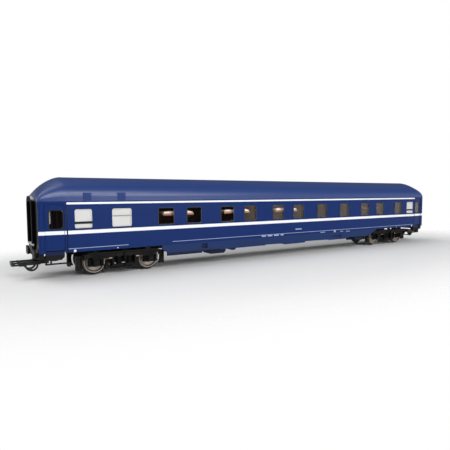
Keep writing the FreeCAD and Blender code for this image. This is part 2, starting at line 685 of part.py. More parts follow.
def make_end_doors():
    """Gangway doors with their windows, set back in the end walls."""
    door = new_body("end_door", node=False)
    leaf = new_sketch(door, "YZ_Plane", "half_length - wall")
    add_rectangle(leaf, "-end_door_half_width + fit", "end_door_half_width - fit", "gangway_floor",
                  "end_door_top - fit")
    add_rectangle(leaf, "-end_window_half", "end_window_half", "window_bottom", "end_door_top - 2.2",
                  "window_corner")
    pad(door, leaf, "end_door_thickness")
    at_both_ends("end_doors", door)
    pane = new_body("end_door_window", node=False)
    glass = new_sketch(pane, "YZ_Plane", "half_length - wall")
    add_rectangle(glass, "-end_window_half + fit", "end_window_half - fit", "window_bottom + fit",
                  "end_door_top - 2.2 - fit", "(window_corner - fit)")
    pad(pane, glass, "end_door_thickness - glass_inset")
    at_both_ends("end_door_windows", pane)


# ---- gangways --------------------------------------------------------------------------------------------


def make_gangway_tube(label, start, depth, smaller, foot):
    """Inverted U of one thick tube round the gangway."""
    tube = new_body(label[:-1], node=False)
    arch = new_sketch(tube, "YZ_Plane", start)
    wide, high = f"(gangway_half_width - {smaller})", f"(gangway_top - {smaller})"
    inner, under = "(gangway_half_width - gangway_tube)", "(gangway_top - gangway_tube)"
    outer_corner = f"(gangway_corner - {smaller})"
    inner_corner = "(gangway_corner - gangway_tube)"
    add_loop(arch, [
        (wide, foot), (wide, f"{high} - {outer_corner}", outer_corner),
        (f"{wide} - {outer_corner}", high), (f"{outer_corner} - {wide}", high, outer_corner),
        (f"-{wide}", f"{high} - {outer_corner}"), (f"-{wide}", foot), (f"-{inner}", foot),
        (f"-{inner}", f"{under} - {inner_corner}", f"-{inner_corner}"), (f"{inner_corner} - {inner}", under),
        (f"{inner} - {inner_corner}", under, f"-{inner_corner}"), (inner, f"{under} - {inner_corner}"),
        (inner, foot)])
    pad(tube, arch, depth)
    at_both_ends(label, tube)


def make_gangways():
    """Rear and front tube, the footplate before the rear one and the bracket under it, at each end."""
    front = "half_length + gangway_rear"
    make_gangway_tube("gangway_rear_tubes", "half_length", "gangway_rear", "gangway_step", "gangway_foot")
    make_gangway_tube("gangway_front_tubes", front, "gangway_front", "0", "gangway_floor")
    plate = new_body("gangway_footplate", node=False)
    top = new_sketch(plate, "XY_Plane", "gangway_floor")
    inner = "(gangway_half_width - gangway_tube - fit)"
    add_loop(top, [(front, "-gangway_half_width"), (f"{front} + gangway_front", "-gangway_half_width"),
                   (f"{front} + gangway_front", "gangway_half_width"), (front, "gangway_half_width"),
                   (front, inner), ("half_length", inner),
                   ("half_length", f"-{inner}"), (front, f"-{inner}")])
    pad(plate, top, "footplate", backwards=True)
    at_both_ends("gangway_footplates", plate)
    bracket = new_body("gangway_bracket", node=False)
    side = new_sketch(bracket, "XZ_Plane")
    under = "gangway_floor - footplate"
    tip = f"{front} + gangway_front - bracket_back"
    add_loop(side, [("half_length", "gangway_foot - 1.0"), (f"{front} - bracket_back", "bracket_tip"),
                    (tip, "bracket_tip"), (tip, under), ("half_length", under)])
    pad(bracket, side, "2 * bracket_half_width", midplane=True)
    at_both_ends("gangway_brackets", bracket)


# ---- underframe ------------------------------------------------------------------------------------------


def make_underframe():
    """Floor plate that clips into the body."""
    body = new_body("underframe")
    plate = new_sketch(body, "XY_Plane", "underframe_bottom")
    add_loop(plate, plan_corners("(wall + fit)"))
    pad(body, plate, "underframe_plate")


def make_pivot_bosses():
    """Round bosses under the floor plate that the bogies bear against."""
    boss = new_body("pivot_boss", node=False)
    face = new_sketch(boss, "XY_Plane", "underframe_bottom")
    add_circle(face, "pivot_place", "0", "boss_radius")
    pad(boss, face, "underframe_bottom - bolster_top - bearing_gap", backwards=True)
    at_both_ends("pivot_bosses", boss)


def make_floor_beams():
    """Two long beams under the floor plate, between the bogies."""
    beam = new_body("floor_beam", node=False)
    section = new_sketch(beam, "XY_Plane", "underframe_bottom")
    end = "(pivot_place - wheelbase / 2 - bogie_overhang - 4)"
    low, high = "beam_place - beam_width / 2", "beam_place + beam_width / 2"
    add_rectangle(section, f"-{end}", end, low, high)
    pad(beam, section, "beam_height", backwards=True)
    gather("floor_beams", [beam, mirrored_copy("floor_beam_other_side", beam, ACROSS, node=False)])


def make_pivot_pins():
    """Headed pins that hold the bogies on the underframe's bosses."""
    pin = new_body("bogie_pivot_pin", node=False)
    section = new_sketch(pin, "XZ_Plane")
    head = "((bolster_top - bolster_thickness) - bearing_gap)"
    add_loop(section, [("0", f"{head} - 0.9"), ("pin_head", f"{head} - 0.9"), ("pin_head", head),
                       ("pin_radius", head), ("pin_radius", "bolster_top + bearing_gap"),
                       ("0", "bolster_top + bearing_gap")])
    turn(pin, section, "V_Axis")
    pin.setExpression("Placement.Base.x", bound("pivot_place"))
    at_both_ends("bogie_pivot_pins", pin)


def make_headstocks():
    """Beams across the ends that carry the buffers."""
    beam = new_body("headstock", node=False)
    block = new_sketch(beam, "XY_Plane", "headstock_bottom")
    add_rectangle(block, "half_length - headstock_depth", "half_length",
                  "-headstock_half_width", "headstock_half_width")
    pad(beam, block, "side_bottom - headstock_bottom")
    at_both_ends("headstocks", beam)


def make_buffers():
    """Stem, collar and rounded oblong head of each buffer."""
    buffer = new_body("buffer", node=False)
    middle, stem_height = "-buffer_spacing / 2", "side_bottom - buffer_stem - 0.1"
    for length, radius in (("0.5", "buffer_stem"), ("buffer_reach - buffer_head", "buffer_stem - 0.35")):
        stem = new_sketch(buffer, "YZ_Plane", "half_length")
        add_circle(stem, middle, stem_height, radius)
        pad(buffer, stem, length)
    head = new_sketch(buffer, "YZ_Plane", "half_length + buffer_reach - buffer_head")
    add_rectangle(head, f"{middle} - buffer_width / 2", f"{middle} + buffer_width / 2",
                  "buffer_height - buffer_tall / 2", "buffer_height + buffer_tall / 2", "buffer_corner")
    pad(buffer, head, "buffer_head")
    at_four_corners("buffers", buffer)


def make_skirts():
    """Side skirts between the bogies with their stepped lower edge and their recesses."""
    skirt = new_body("side_skirt_right", node=False)
    panel = new_sketch(skirt, "XZ_Plane", "body_half_width")
    lower = [(along(place), height) for place, height in SKIRT_EDGE]
    add_loop(panel, [(lower[0][0], "side_bottom")] + lower + [(lower[-1][0], "side_bottom")])
    pad(skirt, panel, "skirt_thickness", backwards=True)
    recesses = new_sketch(skirt, "XZ_Plane", "body_half_width")
    for left, right, low, high in SKIRT_RECESSES:
        add_rectangle(recesses, along(left), along(right), str(low), str(high))
    cut(skirt, recesses, "skirt_thickness * 0.6")
    gather("side_skirts", [skirt, mirrored_copy("side_skirt_left", skirt, ACROSS, node=False)])


def make_equipment():
    """Equipment boxes behind the skirts, with slanted lower corners, and air tanks between them."""
    boxes = new_body("equipment_boxes")
    outer = "body_half_width - skirt_thickness - 0.4"
    places = [(along(left), along(right), low) for left, right, low in EQUIPMENT]
    far, near, low = BOGIE_BOX
    places.append((f"(pivot_place - {far})", f"(pivot_place - {near})", low))
    made = []
    for left, right, low in places:
        box = new_sketch(boxes, "XZ_Plane", outer)
        add_loop(box, [(left, "underframe_bottom"), (left, f"{low} + 1.4"), (f"{left} + 1.2", str(low)),
                       (f"{right} - 1.2", str(low)), (right, f"{low} + 1.4"), (right, "underframe_bottom")])
        made.append(pad(boxes, box, f"{outer} - equipment_inner", backwards=True))
    mirror(boxes, made, "XZ_Plane")
    tanks = new_body("air_tanks")
    for left, right in AIR_TANKS:
        left, right = along(left), along(right)
        barrel = new_sketch(tanks, "YZ_Plane", left)
        add_circle(barrel, "0", "underframe_bottom - tank_radius - tank_drop", "tank_radius")
        pad(tanks, barrel, f"{right} - {left}")
        for place in (f"{left} + 3", f"{right} - 4"):
            saddle = new_sketch(tanks, "YZ_Plane", place)
            add_rectangle(saddle, "-tank_radius * 0.7", "tank_radius * 0.7",
                          "underframe_bottom - tank_radius", "underframe_bottom")
            pad(tanks, saddle, "1")


def make_steps():
    """Panel and step well under each side door, and the lower footstep on its hangers."""
    left, right = "(door_place - door_width / 2 + fit)", "(door_place + door_width / 2 - fit)"
    panel = new_body("step_panel", node=False)
    plan = new_sketch(panel, "XY_Plane", "step_top")
    front = [(place, f"-({side_at(place)} - step_inset)") for place in (left, right)]
    back = [(place, f"-({side_at(place)} - step_inset - 0.6)") for place in (right, left)]
    add_loop(plan, front + back)
    pad(panel, plan, "underframe_bottom - step_top")
    at_four_corners("step_panels", panel)
    well = new_body("step_well", node=False)
    side = new_sketch(well, "XZ_Plane", "body_half_width - step_inset - 0.5")
    add_loop(side, [(f"{left} + step_slant", "step_bottom"), (right, "step_bottom"), (right, "step_top"),
                    (left, "step_top"), (left, "step_bottom + step_slant")])
    pad(well, side, "2.2", backwards=True)
    at_four_corners("step_wells", well)
    step = new_body("footstep", node=False)
    tread = new_sketch(step, "XY_Plane", "footstep_height")
    outer = "(body_half_width - step_inset - 0.8)"
    add_rectangle(tread, "door_place - 5.5", "door_place + 4.2", f"-{outer}", f"footstep_width - {outer}")
    pad(step, tread, "footstep_thickness", backwards=True)
    hangers = new_sketch(step, "XZ_Plane", outer)
    for middle in ("door_place + 1.8", "door_place + 3.9"):
        add_rectangle(hangers, f"{middle} - 0.3", f"{middle} + 0.3", "footstep_height", "step_bottom")
    pad(step, hangers, "1.4", backwards=True)
    block = new_sketch(step, "XZ_Plane", outer)
    add_rectangle(block, "door_place - 7.0", "door_place - 5.4",
                  "footstep_height - 1.9", "footstep_height", "0.2")
    pad(step, block, "1.6", backwards=True)
    at_four_corners("footsteps", step)


# ---- interior --------------------------------------------------------------------------------------------


def make_interior():
    """Floor, corridor partition, cross walls and berths that show through the glass."""
    floor = new_body("interior_floor")
    plate = new_sketch(floor, "XY_Plane", "inside_floor")
    add_rectangle(plate, "-taper_start", "taper_start", "-inside_half", "inside_half")
    pad(floor, plate, "floor_thickness")
    wall = new_body("corridor_partition")
    plate = new_sketch(wall, "XY_Plane", "room_floor")
    add_rectangle(plate, "-taper_start", "taper_start", "partition_place", "partition_place + partition")
    pad(wall, plate, "inside_top - room_floor")
    middles = [middle for middle, _ in RIGHT_WINDOWS]
    walls = new_body("compartment_walls")
    berths = new_body("berths")
    for left, right in zip(middles, middles[1:]):
        place = along(f"{(left + right) / 2:.2f}")
        plate = new_sketch(walls, "XY_Plane", "room_floor")
        add_rectangle(plate, f"{place} - partition / 2", f"{place} + partition / 2", "-inside_half",
                      "partition_place")
        pad(walls, plate, "inside_top - room_floor")
    pairs = [(left, right) for left, right in zip(middles[2:], middles[3:-1]) if right - left < PAIR_SPACING]
    for left, right in pairs:
        wall_place = along(f"{(left + right) / 2:.2f}")
        before, behind = f"{wall_place} - partition / 2", f"{wall_place} + partition / 2"
        for near, far in ((f"{before} - berth_width", before), (behind, f"{behind} + berth_width")):
            for height, thickness in (("room_floor", "lower_berth"), ("upper_berth", "berth_thickness")):
                bunk = new_sketch(berths, "XY_Plane", height)
                add_rectangle(bunk, near, far, "-inside_half + 0.4", "partition_place")
                pad(berths, bunk, thickness)


# ---- bogies ----------------------------------------------------------------------------------------------

# End of the coach: number, sign of its place along the coach.
BOGIES = ((1, -1), (2, 1))
AXLES = (("outer", 1), ("inner", -1))


def axle_place(sign, inner):
    """Place along the coach of an axle of the bogie at an end."""
    return f"({sign} * (pivot_place + ({inner}) * wheelbase / 2))"


def side_frame_outline(centre):
    """Outline of a bogie's side frame: cradle, axle boxes with spring seats, beam and its end brackets."""
    half = []
    axle = "(wheelbase / 2)"
    end, wing_low = f"({axle} + bogie_overhang)", "(axle_height - wing_drop)"
    half += [("cradle_half", "cradle_low"), ("cradle_half", "bogie_low")]
    half += [(f"({axle} - axle_box_half)", "bogie_low"), (f"({axle} - axle_box_half)", "wing_top"),
             (f"({axle} - wing_half)", "wing_top"), (f"({axle} - wing_half)", wing_low),
             (f"({axle} + wing_half)", wing_low), (f"({axle} + wing_half)", "wing_top"),
             (f"({axle} + axle_box_half)", "wing_top"), (f"({axle} + axle_box_half)", "bogie_low")]
    arm_top = "(bogie_top - 0.9)"
    half += [(f"({end} - 0.9)", f"{arm_top} - bogie_arm"), (f"({end} - 0.9)", f"{arm_top} - end_bracket"),
             (end, f"{arm_top} - end_bracket"), (end, arm_top), (f"({end} - 3.9)", "bogie_top")]
    right = [(f"{centre} + {x}", z) for x, z in half]
    left = [(f"{centre} - {x}", z) for x, z in reversed(half)]
    return right + left


def make_bogie_frame(number, sign):
    """Two side frames with axle boxes, joined by the cross beam that turns on the pivot pin."""
    body = new_body(f"bogie_frame_{number}")
    centre = f"({sign} * pivot_place)"
    side = new_sketch(body, "XZ_Plane", "side_frame_face")
    add_loop(side, side_frame_outline(centre))
    opening = "(cradle_half - cradle_bar)"
    add_rectangle(side, f"{centre} - {opening}", f"{centre} + {opening}",
                  "cradle_low + cradle_plank", "bogie_low")
    frame = pad(body, side, "bogie_side", backwards=True)
    rib = new_sketch(body, "XZ_Plane", "side_frame_face")
    add_rectangle(rib, f"{centre} - wheelbase / 2", f"{centre} + wheelbase / 2", "bogie_top - 0.45",
                  "bogie_top")
    add_rectangle(rib, f"{centre} - cradle_half + 2", f"{centre} + cradle_half - 2", "bogie_low",
                  "bogie_top - 0.8")
    ribs = pad(body, rib, "cover_proud * 0.6")
    covers = new_sketch(body, "XZ_Plane", "side_frame_face")
    guides = new_sketch(body, "XZ_Plane", "side_frame_face - 1")
    bores = new_sketch(body, "XZ_Plane", "bogie_inner")
    for toward in ("-", "+"):
        axle = f"{centre} {toward} wheelbase / 2"
        add_circle(covers, axle, "axle_height", "cover_radius")
        add_circle(bores, axle, "axle_height", "journal_radius + journal_fit")
        ends = [f"{centre} {toward} (wheelbase / 2 - axle_box_half)",
                f"{centre} {toward} (wheelbase / 2 - axle_box_half - guide_reach)"]
        if toward == "+":
            ends.reverse()
        add_rectangle(guides, *ends, "bogie_low - guide_height", "bogie_low")
    raised = pad(body, covers, "cover_proud")
    arms = pad(body, guides, "cover_proud + 1")
    drilled = cut(body, bores, "axle_length / 2 + journal_fit - bogie_inner", backwards=True)
    mirror(body, [frame, ribs, raised, arms, drilled], "XZ_Plane")
    beam = new_sketch(body, "XY_Plane", "bolster_top")
    add_rectangle(beam, f"{centre} - bolster_half", f"{centre} + bolster_half", "-bogie_inner", "bogie_inner")
    add_circle(beam, centre, "0", "pin_radius + pin_fit")
    pad(body, beam, "bolster_thickness", backwards=True)
    keel = new_sketch(body, "XZ_Plane", "keel_place")
    reach = "(wheelbase / 2 - axle_radius - 1)"
    add_rectangle(keel, f"{centre} - {reach}", f"{centre} + {reach}", "keel_low",
                  "bolster_top - bolster_thickness / 2")
    plate = pad(body, keel, "keel_thickness")
    mirror(body, [plate], "XZ_Plane")


def add_spring(body, place, low, high, radius, turns):
    """Upright coil spring as one turned solid whose coils stand out, inside a side frame's thickness."""
    section = new_sketch(body, "XZ_Plane", "side_frame_face - bogie_side / 2", place)
    pitch = f"(({high} - {low}) / {turns})"
    bulge = f"{radius} + coil_bulge"
    coils = []
    for coil in range(turns):
        coils += [(radius, f"{low} + {pitch} * {coil}"), (bulge, f"{low} + {pitch} * ({coil} + 0.3)"),
                  (bulge, f"{low} + {pitch} * ({coil} + 0.7)")]
    add_loop(section, [("0", low)] + coils + [(radius, high), ("0", high)])
    return turn(body, section, "V_Axis")


def make_bogie_springs(number, sign):
    """Small springs on the axle boxes' seats and the large ones in the cradles, on both sides."""
    body = new_body(f"bogie_springs_{number}")
    centre = f"{sign} * pivot_place"
    made = []
    for toward in ("-", "+"):
        made.append(add_spring(body, f"{centre} {toward} large_spring_place", "(cradle_low + cradle_plank)",
                               "bogie_low", "large_spring_radius", 5))
        for beside in ("-", "+"):
            place = f"{centre} {toward} wheelbase / 2 {beside} axle_spring_place"
            made.append(add_spring(body, place, "wing_top", "(bogie_low - guide_height - 0.05)",
                                   "axle_spring_radius", 4))
    mirror(body, made, "XZ_Plane")


def make_bogie_dampers(number, sign):
    """Upright damper on the middle of each side frame, between two lugs."""
    body = new_body(f"bogie_dampers_{number}")
    rib = "cover_proud * 0.6"
    axis = f"side_frame_face + {rib} + damper_radius + 0.2"
    rod, low, high = "(damper_radius * 0.6)", "(cradle_low + 0.1)", "(bogie_top - 1.0)"
    section = new_sketch(body, "XZ_Plane", axis, f"{sign} * pivot_place")
    middle = f"(({low} + {high}) / 2)"
    add_loop(section, [("0", low), (rod, low), (rod, middle), ("damper_radius", middle),
                       ("damper_radius", high), ("0", high)])
    made = [turn(body, section, "V_Axis")]
    for height, face in ((low, "side_frame_face"), (f"({high} - 0.7)", f"(side_frame_face + {rib})")):
        ear = new_sketch(body, "XZ_Plane", axis, f"{sign} * pivot_place")
        add_rectangle(ear, f"-{rod}", rod, height, f"{height} + 0.7")
        made.append(pad(body, ear, f"{axis} - {face}", backwards=True))
    mirror(body, made, "XZ_Plane")


def make_rail_brakes(number, sign):
    """Brake bars over the rails between the wheels, hung from the cradles' hanger bars."""
    body = new_body(f"bogie_rail_brakes_{number}")
    centre = f"({sign} * pivot_place)"
    outer = "(back_to_back / 2 + wheel_width / 2 + rail_brake_width / 2)"
    half = "(wheelbase / 2 - wheel_radius - 0.8)"
    bar = new_sketch(body, "XZ_Plane", outer)
    low, top = "(cradle_low - rail_brake_height)", "cradle_low"
    add_loop(bar, [(f"{centre} - {half} + 0.8", low), (f"{centre} + {half} - 0.8", low),
                   (f"{centre} + {half}", f"{low} + 0.8"), (f"{centre} + {half}", top),
                   (f"{centre} - {half}", top), (f"{centre} - {half}", f"{low} + 0.8")])
    made = [pad(body, bar, "rail_brake_width", backwards=True)]
    hangers = new_sketch(body, "XZ_Plane", "bogie_inner")
    for left, right in ((f"{centre} - cradle_half", f"{centre} - cradle_half + cradle_bar"),
                        (f"{centre} + cradle_half - cradle_bar", f"{centre} + cradle_half")):
        add_rectangle(hangers, left, right, top, f"{top} + cradle_plank")
    made.append(pad(body, hangers, f"bogie_inner - {outer} + rail_brake_width", backwards=True))
    mirror(body, made, "XZ_Plane")


def make_brake_blocks(number, sign):
    """Curved brake blocks before and behind each wheel, hung from the side beams."""
    body = new_body(f"bogie_brake_blocks_{number}")
    side = "(back_to_back / 2 + flange_width + block_gap)"
    low, high = "(axle_height - block_drop)", "(bogie_low + block_rise)"
    blocks = new_sketch(body, "XZ_Plane", f"{side} + block_width")
    hangers = new_sketch(body, "XZ_Plane", "bogie_inner")
    for toward in ("-", "+"):
        axle = f"({sign} * pivot_place {toward} wheelbase / 2)"
        for beside in ("-", "+"):
            at_end = beside == toward
            radius = "(wheel_radius + block_gap)" if at_end else "(tread_radius + block_gap)"
            back = f"{axle} {beside} {'end_block_back' if at_end else 'block_back'}"
            face = [(f"{axle} {beside} sqrt({radius}^2 - ({edge} - axle_height)^2)", edge)
                    for edge in (low, high)]
            arc = radius if beside == "+" else f"-{radius}"
            add_loop(blocks, [(*face[0], arc), face[1], (back, high), (back, low)])
            front = f"{axle} {beside} (bogie_overhang - bogie_arm / 2)"
            add_loop(hangers, [(front, "bogie_low"), (back, "bogie_low"), (back, high), (front, high)])
    made = [pad(body, blocks, "block_width", backwards=True),
            pad(body, hangers, f"bogie_inner - {side} - block_width", backwards=True)]
    mirror(body, made, "XZ_Plane")


def make_wheelset(number, sign, name, inner):
    """One axle with its brake discs and its two flanged wheels, which turn together."""
    face, outer = "(back_to_back / 2)", "(back_to_back / 2 + wheel_width)"
    wheels = new_body(f"wheels_{number}_{name}")
    rim = new_sketch(wheels, "XY_Plane")
    add_loop(rim, [
        ("axle_radius", face), ("wheel_radius - 0.3", face), ("wheel_radius", f"{face} + 0.35"),
        ("tread_radius + 0.15", f"{face} + flange_width"), ("tread_radius", f"{face} + flange_width + 0.3"),
        ("tread_radius - 0.1", f"{outer} - 0.2"), ("tread_radius - 0.3", outer),
        ("tread_radius - 1.0", outer), ("tread_radius - 1.3", f"{outer} - 0.6", "6"),
        ("2.3", f"{outer} - 0.8"), ("1.8", f"{outer} - 0.1"),
        ("axle_radius", f"{outer} - 0.1")])
    turned = turn(wheels, rim, "V_Axis")
    mirror(wheels, [turned], "XZ_Plane")
    axle = new_body(f"axle_{number}_{name}")
    shaft = new_sketch(axle, "XY_Plane")
    neck, tip = "(bogie_inner - 0.3)", "(axle_length / 2)"
    disc_out, disc_in = "(brake_disc_place + brake_disc / 2)", "(brake_disc_place - brake_disc / 2)"
    half = [("axle_radius", disc_in), ("brake_disc_radius", disc_in), ("brake_disc_radius", disc_out),
            ("axle_radius", disc_out), ("axle_radius", f"({neck} - 0.4)"), ("journal_radius", neck),
            ("journal_radius", f"({tip} - 0.5)"), ("journal_radius * 0.4", tip), ("0", tip)]
    add_loop(shaft, [(x, f"-{y}") for x, y in reversed(half)] + half)
    turn(axle, shaft, "V_Axis")
    for body in (wheels, axle):
        body.setExpression("Placement.Base.x", bound(axle_place(sign, inner)))
        body.setExpression("Placement.Base.z", bound("axle_height"))


# ---- couplers --------------------------------------------------------------------------------------------


def make_coupler_link(number, sign):
    """Link under the headstock that swings on its pin and carries the coupler head."""
    link = new_body(f"coupler_link_{number}")
    bar = new_sketch(link, "XY_Plane", "coupler_height + shank_half")
    ends = [f"({sign} * (coupler_pivot - 2 * coupler_pin_radius))", f"({sign} * (half_length + 0.8))"][::sign]
    add_rectangle(bar, *ends, "-2.1", "2.1", "0.6")
    add_circle(bar, f"{sign} * coupler_pivot", "0", "coupler_pin_radius + pin_fit")
    pad(link, bar, "link_thickness")


def make_coupler_head(number, sign):
    """Hook head plugged under the link, with the hinge pins of its loop."""
    head = new_body(f"coupler_head_{number}")
    side = new_sketch(head, "XZ_Plane")
    low, high = "(coupler_height - shank_half)", "(coupler_height + shank_half)"
    corners = [("coupler_pivot + 3", low), ("coupler_tip - 7", low), ("coupler_tip - 6.4", f"{low} - 0.6"),
               ("coupler_tip - 3.6", f"{low} - 0.6"), ("coupler_tip - 3.0", "coupler_height + 0.1"),
               ("coupler_tip - 3.0", f"{high} + 0.55"), ("coupler_tip - 3.9", f"{high} + 0.55"),
               ("coupler_tip - 4.4", high), ("coupler_pivot + 3", high)]
    add_loop(side, [(f"{sign} * ({x})", z) for x, z in corners][::sign])
    pad(head, side, "4.4", midplane=True)
    pins = new_sketch(head, "XZ_Plane")
    add_circle(pins, f"{sign} * loop_pivot", "coupler_height", "loop_pin")
    pad(head, pins, "2 * coupler_half_width", midplane=True)


def make_coupler_loop(number, sign):
    """Lifting loop: two slotted arms with half-round skids, joined by the front bar and the skid's bar."""
    loop = new_body(f"coupler_loop_{number}")
    arm = new_sketch(loop, "XZ_Plane", "coupler_half_width")
    middle, inner = "(loop_pivot + skid_radius)", "(skid_radius - loop_thickness)"
    low, high = "(coupler_height - 0.8)", "(coupler_height + 1.0)"
    outline = [(f"{middle} - skid_radius", low), (middle, f"{low} - skid_radius"),
               (f"{middle} + skid_radius", low), ("coupler_tip", low), ("coupler_tip", high),
               ("loop_pivot - 0.9", high), ("loop_pivot - 0.9", low)]
    add_loop(arm, signed_loop(outline, ["skid_radius", "skid_radius"] + [None] * 5, sign))
    hollow = [(f"{middle} - {inner}", low), (middle, f"{low} - {inner}"), (f"{middle} + {inner}", low)]
    add_loop(arm, signed_loop(hollow, [inner, inner, None], sign))
    add_circle(arm, f"{sign} * loop_pivot", "coupler_height", "loop_pin + pin_fit")
    slot = [f"{sign} * ({place})" for place in ("coupler_tip - 6.2", "coupler_tip - 1.6")][::sign]
    add_rectangle(arm, *slot, "coupler_height - 0.05", "coupler_height + 0.25")
    side_arm = pad(loop, arm, "loop_thickness", backwards=True)
    mirror(loop, [side_arm], "XZ_Plane")
    bars = new_sketch(loop, "XZ_Plane")
    skid_low, skid_high = f"{low} - skid_radius + 0.1", f"{low} - {inner} - 0.05"
    for left, right, bottom, top in (("coupler_tip - loop_thickness", "coupler_tip", low, high),
                                     (f"{middle} - 0.6", f"{middle} + 0.6", skid_low, skid_high)):
        add_rectangle(bars, *[f"{sign} * ({place})" for place in (left, right)][::sign], bottom, top)
    pad(loop, bars, "2 * (coupler_half_width - loop_thickness)", midplane=True)


def signed_loop(points, radii, sign):
    """Loop corners for an end of the coach: mirrored and reversed at the -X end."""
    if sign < 0:
        points, radii = points[::-1], radii[-2::-1] + radii[-1:]
    return [(f"{sign} * ({x})", z) + ((radius,) if radius else ())
            for (x, z), radius in zip(points, radii)]


def make_coupler_pins():
    """Pins under the underframe that the coupler links swing on."""
    pin = new_body("coupler_pin", node=False)
    section = new_sketch(pin, "XZ_Plane")
    low, top = "(coupler_height + shank_half)", "(coupler_height + shank_half + link_thickness)"
    head = "(2 * coupler_pin_radius)"
    add_loop(section, [("0", f"{low} - 0.9"), (f"{head} - 0.1", f"{low} - 0.9"),
                       (f"{head} - 0.1", f"{low} - bearing_gap"),
                       ("coupler_pin_radius", f"{low} - bearing_gap"),
                       ("coupler_pin_radius", f"{top} + bearing_gap"), (head, f"{top} + bearing_gap"),
                       (head, "underframe_bottom"), ("0", "underframe_bottom")])
    turn(pin, section, "V_Axis")
    pin.setExpression("Placement.Base.x", bound("coupler_pivot"))
    at_both_ends("coupler_pins", pin)


def main():
    """Build every piece in the order it goes together."""
    make_body_shell()
    make_roof()
    make_roof_hatches()
    for side in ("right", "left"):
        make_window_frames(side)
        make_glazing(side)
    make_frosted_panes()
    make_side_doors()
    make_end_doors()
    make_gangways()
    make_underframe()
    make_pivot_bosses()
    make_floor_beams()
    make_pivot_pins()
    make_headstocks()
    make_buffers()
    make_skirts()
    make_equipment()
    make_steps()
    make_interior()
    for number, sign in BOGIES:
        make_bogie_frame(number, sign)
        make_bogie_springs(number, sign)
        make_bogie_dampers(number, sign)
        make_rail_brakes(number, sign)
        make_brake_blocks(number, sign)
        for name, inner in AXLES:
            make_wheelset(number, sign, name, inner)
        make_coupler_link(number, sign)
        make_coupler_head(number, sign)
        make_coupler_loop(number, sign)
    make_coupler_pins()


main()
DOC.recompute()
for item in DOC.Objects:
    if "Invalid" in item.State or "Error" in item.State:
        raise ValueError(f"{item.Label} failed: {item.State}")
os.makedirs("parts", exist_ok=True)
for item in NODES:
    if item.Shape.isNull() or not item.Shape.isValid():
        raise ValueError(f"{item.Label} has no valid shape")
    item.Shape.exportStep(f"parts/{item.Label}.step")
print(len(NODES), "nodes")
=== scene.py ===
"""Looks of a 1:87 sleeping coach model: finishes for its mouldings, and its printed and fitted details.

Lengths are in millimetres until a mesh is made, and every finished piece is in metres in the frame of the
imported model: +X along the coach, the right side at -Y, +Z up, and Z = 0 under the wheel flanges.
"""

import json
import logging
import math
from dataclasses import dataclass
from enum import Enum
from typing import Any

import bpy
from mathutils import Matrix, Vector


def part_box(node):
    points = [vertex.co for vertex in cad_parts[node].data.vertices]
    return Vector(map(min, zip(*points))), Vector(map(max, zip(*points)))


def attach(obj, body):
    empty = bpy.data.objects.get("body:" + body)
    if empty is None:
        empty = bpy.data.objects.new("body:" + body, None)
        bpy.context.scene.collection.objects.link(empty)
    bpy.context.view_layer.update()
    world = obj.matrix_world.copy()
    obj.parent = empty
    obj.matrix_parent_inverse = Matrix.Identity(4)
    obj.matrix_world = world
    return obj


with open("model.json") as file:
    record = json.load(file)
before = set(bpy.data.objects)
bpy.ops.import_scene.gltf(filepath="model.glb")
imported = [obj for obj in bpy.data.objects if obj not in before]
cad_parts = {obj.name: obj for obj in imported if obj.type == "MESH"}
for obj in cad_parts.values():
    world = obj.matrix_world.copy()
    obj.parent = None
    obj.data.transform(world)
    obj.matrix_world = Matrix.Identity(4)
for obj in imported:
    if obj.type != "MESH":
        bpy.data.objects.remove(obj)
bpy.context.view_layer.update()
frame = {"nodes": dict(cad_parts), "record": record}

log = logging.getLogger("coach")

Material = bpy.types.Material
Piece = bpy.types.Object
Socket = bpy.types.NodeSocket
Tree = bpy.types.NodeTree
Triple = tuple[float, float, float]

# One millimetre in metres.
MM = 0.001
# Turn that stands a sheet upright, or lays a rod down.
QUARTER = math.radians(90)
# Faces that meet at a smaller angle are shaded as one curve.
SMOOTH_ANGLE = math.radians(35)


def box_of(node: str) -> tuple[Triple, Triple]:
    """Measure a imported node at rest.

    Args:
        node: Name of the node.

    Returns:
        Its lowest and highest corner, in millimetres to a thousandth.
    """
    low, high = (tuple(round(value / MM, 3) for value in corner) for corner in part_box(node))
    return low, high


# ---- colours, nodes and materials ----------------------------------------------------------------------

# Distance between the broad changes of tone on a moulding, in millimetres.
BROAD_TONE = 24.0
# Nearly all values of a noise lie in this middle part.
NOISE_SPAN = {"From Min": 0.3, "From Max": 0.7}
# The same for two noises added up.
TONE_SPAN = {"From Min": 0.6, "From Max": 1.4}
# Sharpness of an edge, from where its painted highlight begins to show to where it shows fully.
EDGE_SPAN = {"From Min": 0.5, "From Max": 0.6}
# A ray that was mirrored at least once counts more than this.
MIRRORED = 0.5


def linear(colour: str) -> tuple[float, float, float, float]:
    """Turn an sRGB hex colour into the linear colour that a shader takes.

    Args:
        colour: Six hex digits, with or without a leading "#".

    Returns:
        Linear red, green, blue and an alpha of 1.
    """
    digits = colour.lstrip("#")
    channels = [int(digits[place:place + 2], 16) / 255 for place in (0, 2, 4)]
    red, green, blue = (c / 12.92 if c <= 0.04045 else ((c + 0.055) / 1.055) ** 2.4 for c in channels)
    return red, green, blue, 1.0


